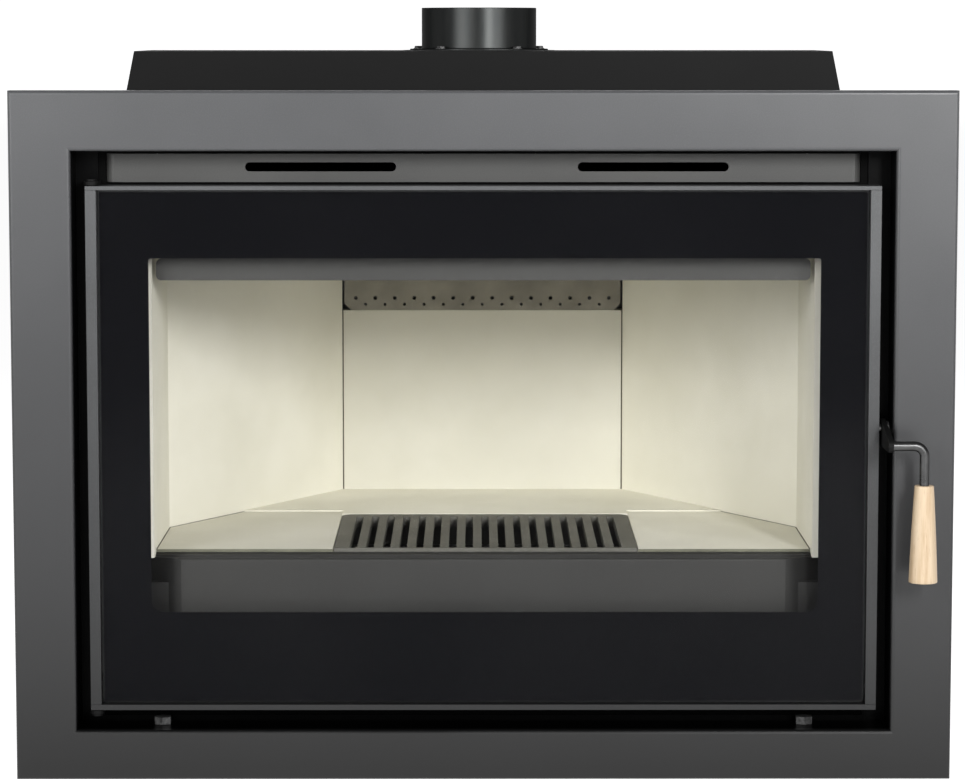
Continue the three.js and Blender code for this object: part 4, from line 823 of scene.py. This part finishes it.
def build_joints():
    """Dark joints where the floor meets the walls, and up the back board's two corners."""
    level = FLOOR_BOARD_HIGH.z
    corner_x, corner_y = BACK_BOARD_HIGH.x, BACK_BOARD_LOW.y
    route = [(OPENING_HALF_WIDTH, FLOOR_BOARD_LOW.y), (OPENING_HALF_WIDTH, SIDE_BOARD_FRONT),
             (corner_x, corner_y)]
    for side, name in SIDES:
        bm = bmesh.new()
        for (x0, y0), (x1, y1) in zip(route, route[1:]):
            along = Vector((x1 - x0, y1 - y0)).normalized()
            across = Vector((-along.y, along.x)) * JOINT_WIDTH
            strip = [(x0, y0), (x1, y1), (x1 + across.x, y1 + across.y),
                     (x0 + across.x, y0 + across.y)]
            add_prism(bm, [(side * x, y) for x, y in strip],
                      level - FLOOR_JOINT_BELOW, level + FLOOR_JOINT_ABOVE)
        add_piece(f"floor_joint_{name}", bm, "casing", JOINT_SOOT, "vermiculite")
        outline = rectangle(side * corner_x, side * (corner_x - JOINT_WIDTH),
                            corner_y - CORNER_JOINT_FRONT, corner_y + CORNER_JOINT_BACK)
        add_bar(f"corner_joint_{name}", outline, level, BACK_BOARD_HIGH.z,
                JOINT_SOOT, "vermiculite")


def build_board_edges():
    """The floor boards' front edge, darkened by painted shade and grime, left and right of the
    grate.
    """
    y0, y1 = LIP_HIGH.y - BOARD_EDGE_FRONT, LIP_HIGH.y + BOARD_EDGE_BACK
    for name, x0, x1 in (("left", -OPENING_HALF_WIDTH, GRATE_LOW.x),
                         ("right", GRATE_HIGH.x, OPENING_HALF_WIDTH)):
        outline = rectangle(x0 + BOARD_EDGE_PLAY, x1 - BOARD_EDGE_PLAY, y0, y1)
        add_bar(f"board_edge_{name}", outline, LIP_HIGH.z + BOARD_EDGE_RISE,
                FLOOR_BOARD_HIGH.z + BOARD_EDGE_RISE, BOARD_EDGE_SHADE, "vermiculite")


# ------------------------------------------------------------------ light, floor and backdrop

# name, side, degrees from straight ahead, distance, height, size, watts
SOFTBOXES = (
    ("front_left", -1, 25, 3.2, 1.5, (0.9, 1.3), 22),
    ("front_right", 1, 21, 3.2, 1.5, (0.35, 0.8), 68),
    ("side_left", -1, 40, 2.8, 1.25, (0.8, 1.3), 32),
    ("side_right", 1, 41, 2.8, 1.25, (0.8, 1.3), 28),
)
SOFTBOX_TARGET = (0, FACE_Y, 0.42)
BACK_LIGHT_PLACE, BACK_LIGHT_TARGET = (0, 2.2, 2.4), (0, 0, 0.5)
BACK_LIGHT_SIZE, BACK_LIGHT_WATTS = (2.0, 1.0), 25
STAGE_REACH = 30.0
WALL_HEIGHT = 7.0
WORLD_COLOUR = (0.5, 0.5, 0.51, 1)
WORLD_STRENGTH = 0.25


def area_light(name, place, target, size, watts):
    data = bpy.data.lights.new(name, "AREA")
    data.shape = "RECTANGLE"
    data.size, data.size_y = size
    data.energy = watts
    lamp = bpy.data.objects.new(name, data)
    lamp.location = place
    aim = Vector(target) - Vector(place)
    lamp.rotation_euler = aim.to_track_quat("-Z", "Y").to_euler()
    lamp.visible_camera = False
    SCENE.collection.objects.link(lamp)


def add_lights():
    """Softboxes to the left and right of the camera, and a weak one high behind the object."""
    for name, side, degrees, distance, height, size, watts in SOFTBOXES:
        azimuth = math.radians(degrees)
        x = side * distance * math.sin(azimuth)
        y = FACE_Y - distance * math.cos(azimuth)
        area_light(name, (x, y, height), SOFTBOX_TARGET, size, watts)
    area_light("high_back", BACK_LIGHT_PLACE, BACK_LIGHT_TARGET, BACK_LIGHT_SIZE, BACK_LIGHT_WATTS)


def white_to_eye(name, colour, bounce, to_eye):
    """A matt surface that shows nearly white, and lights the object by its colour and a glow."""
    n = Nodes(name)
    path = n.add("ShaderNodeLightPath")
    seen = path.outputs["Is Camera Ray"]
    for output in ("Is Glossy Ray", "Is Transmission Ray"):
        either = n.add("ShaderNodeMath", operation="MAXIMUM")
        n.feed(either.inputs[0], seen)
        n.feed(either.inputs[1], path.outputs[output])
        seen = either.outputs["Value"]
    n.set(
        Base_Color=colour,
        Roughness=0.9,
        Emission_Color=grey(1.0),
        Emission_Strength=n.spread(seen, 0.0, 1.0, bounce, to_eye),
    )
    return n.material


def stage_mesh(name, corners, faces, finish):
    mesh = bpy.data.meshes.new(name)
    mesh.from_pydata(corners, [], faces)
    mesh.materials.append(finish)
    thing = bpy.data.objects.new(name, mesh)
    SCENE.collection.objects.link(thing)
    return thing


def add_stage():
    """A wide floor and four low walls far off, so that every view has a pale ground."""
    reach = STAGE_REACH
    ring = rectangle(-reach, reach, -reach, reach)
    floor = stage_mesh("floor", [(x, y, 0) for x, y in ring], [(0, 1, 2, 3)],
                       white_to_eye("floor_paint", grey(0.7), bounce=0.0, to_eye=0.86))
    walls = [(i, (i + 1) % 4, (i + 1) % 4 + 4, i + 4) for i in range(4)]
    backdrop = stage_mesh("backdrop", [(x, y, z) for z in (0, WALL_HEIGHT) for x, y in ring], walls,
                          white_to_eye("backdrop_paint", grey(0.5), bounce=0.15, to_eye=1.0))


def add_world():
    """A dim grey surround light."""
    world = bpy.data.worlds.new("studio")
    SCENE.world = world
    world.use_nodes = True
    background = world.node_tree.nodes["Background"]
    background.inputs["Color"].default_value = WORLD_COLOUR
    background.inputs["Strength"].default_value = WORLD_STRENGTH


add_camera()
dress_nodes()
soften_edges()
build_collar()
build_rod()
build_grip()
build_closers()
build_joints()
build_board_edges()
add_lights()
add_stage()
add_world()

SCENE.view_settings.view_transform = "Standard"
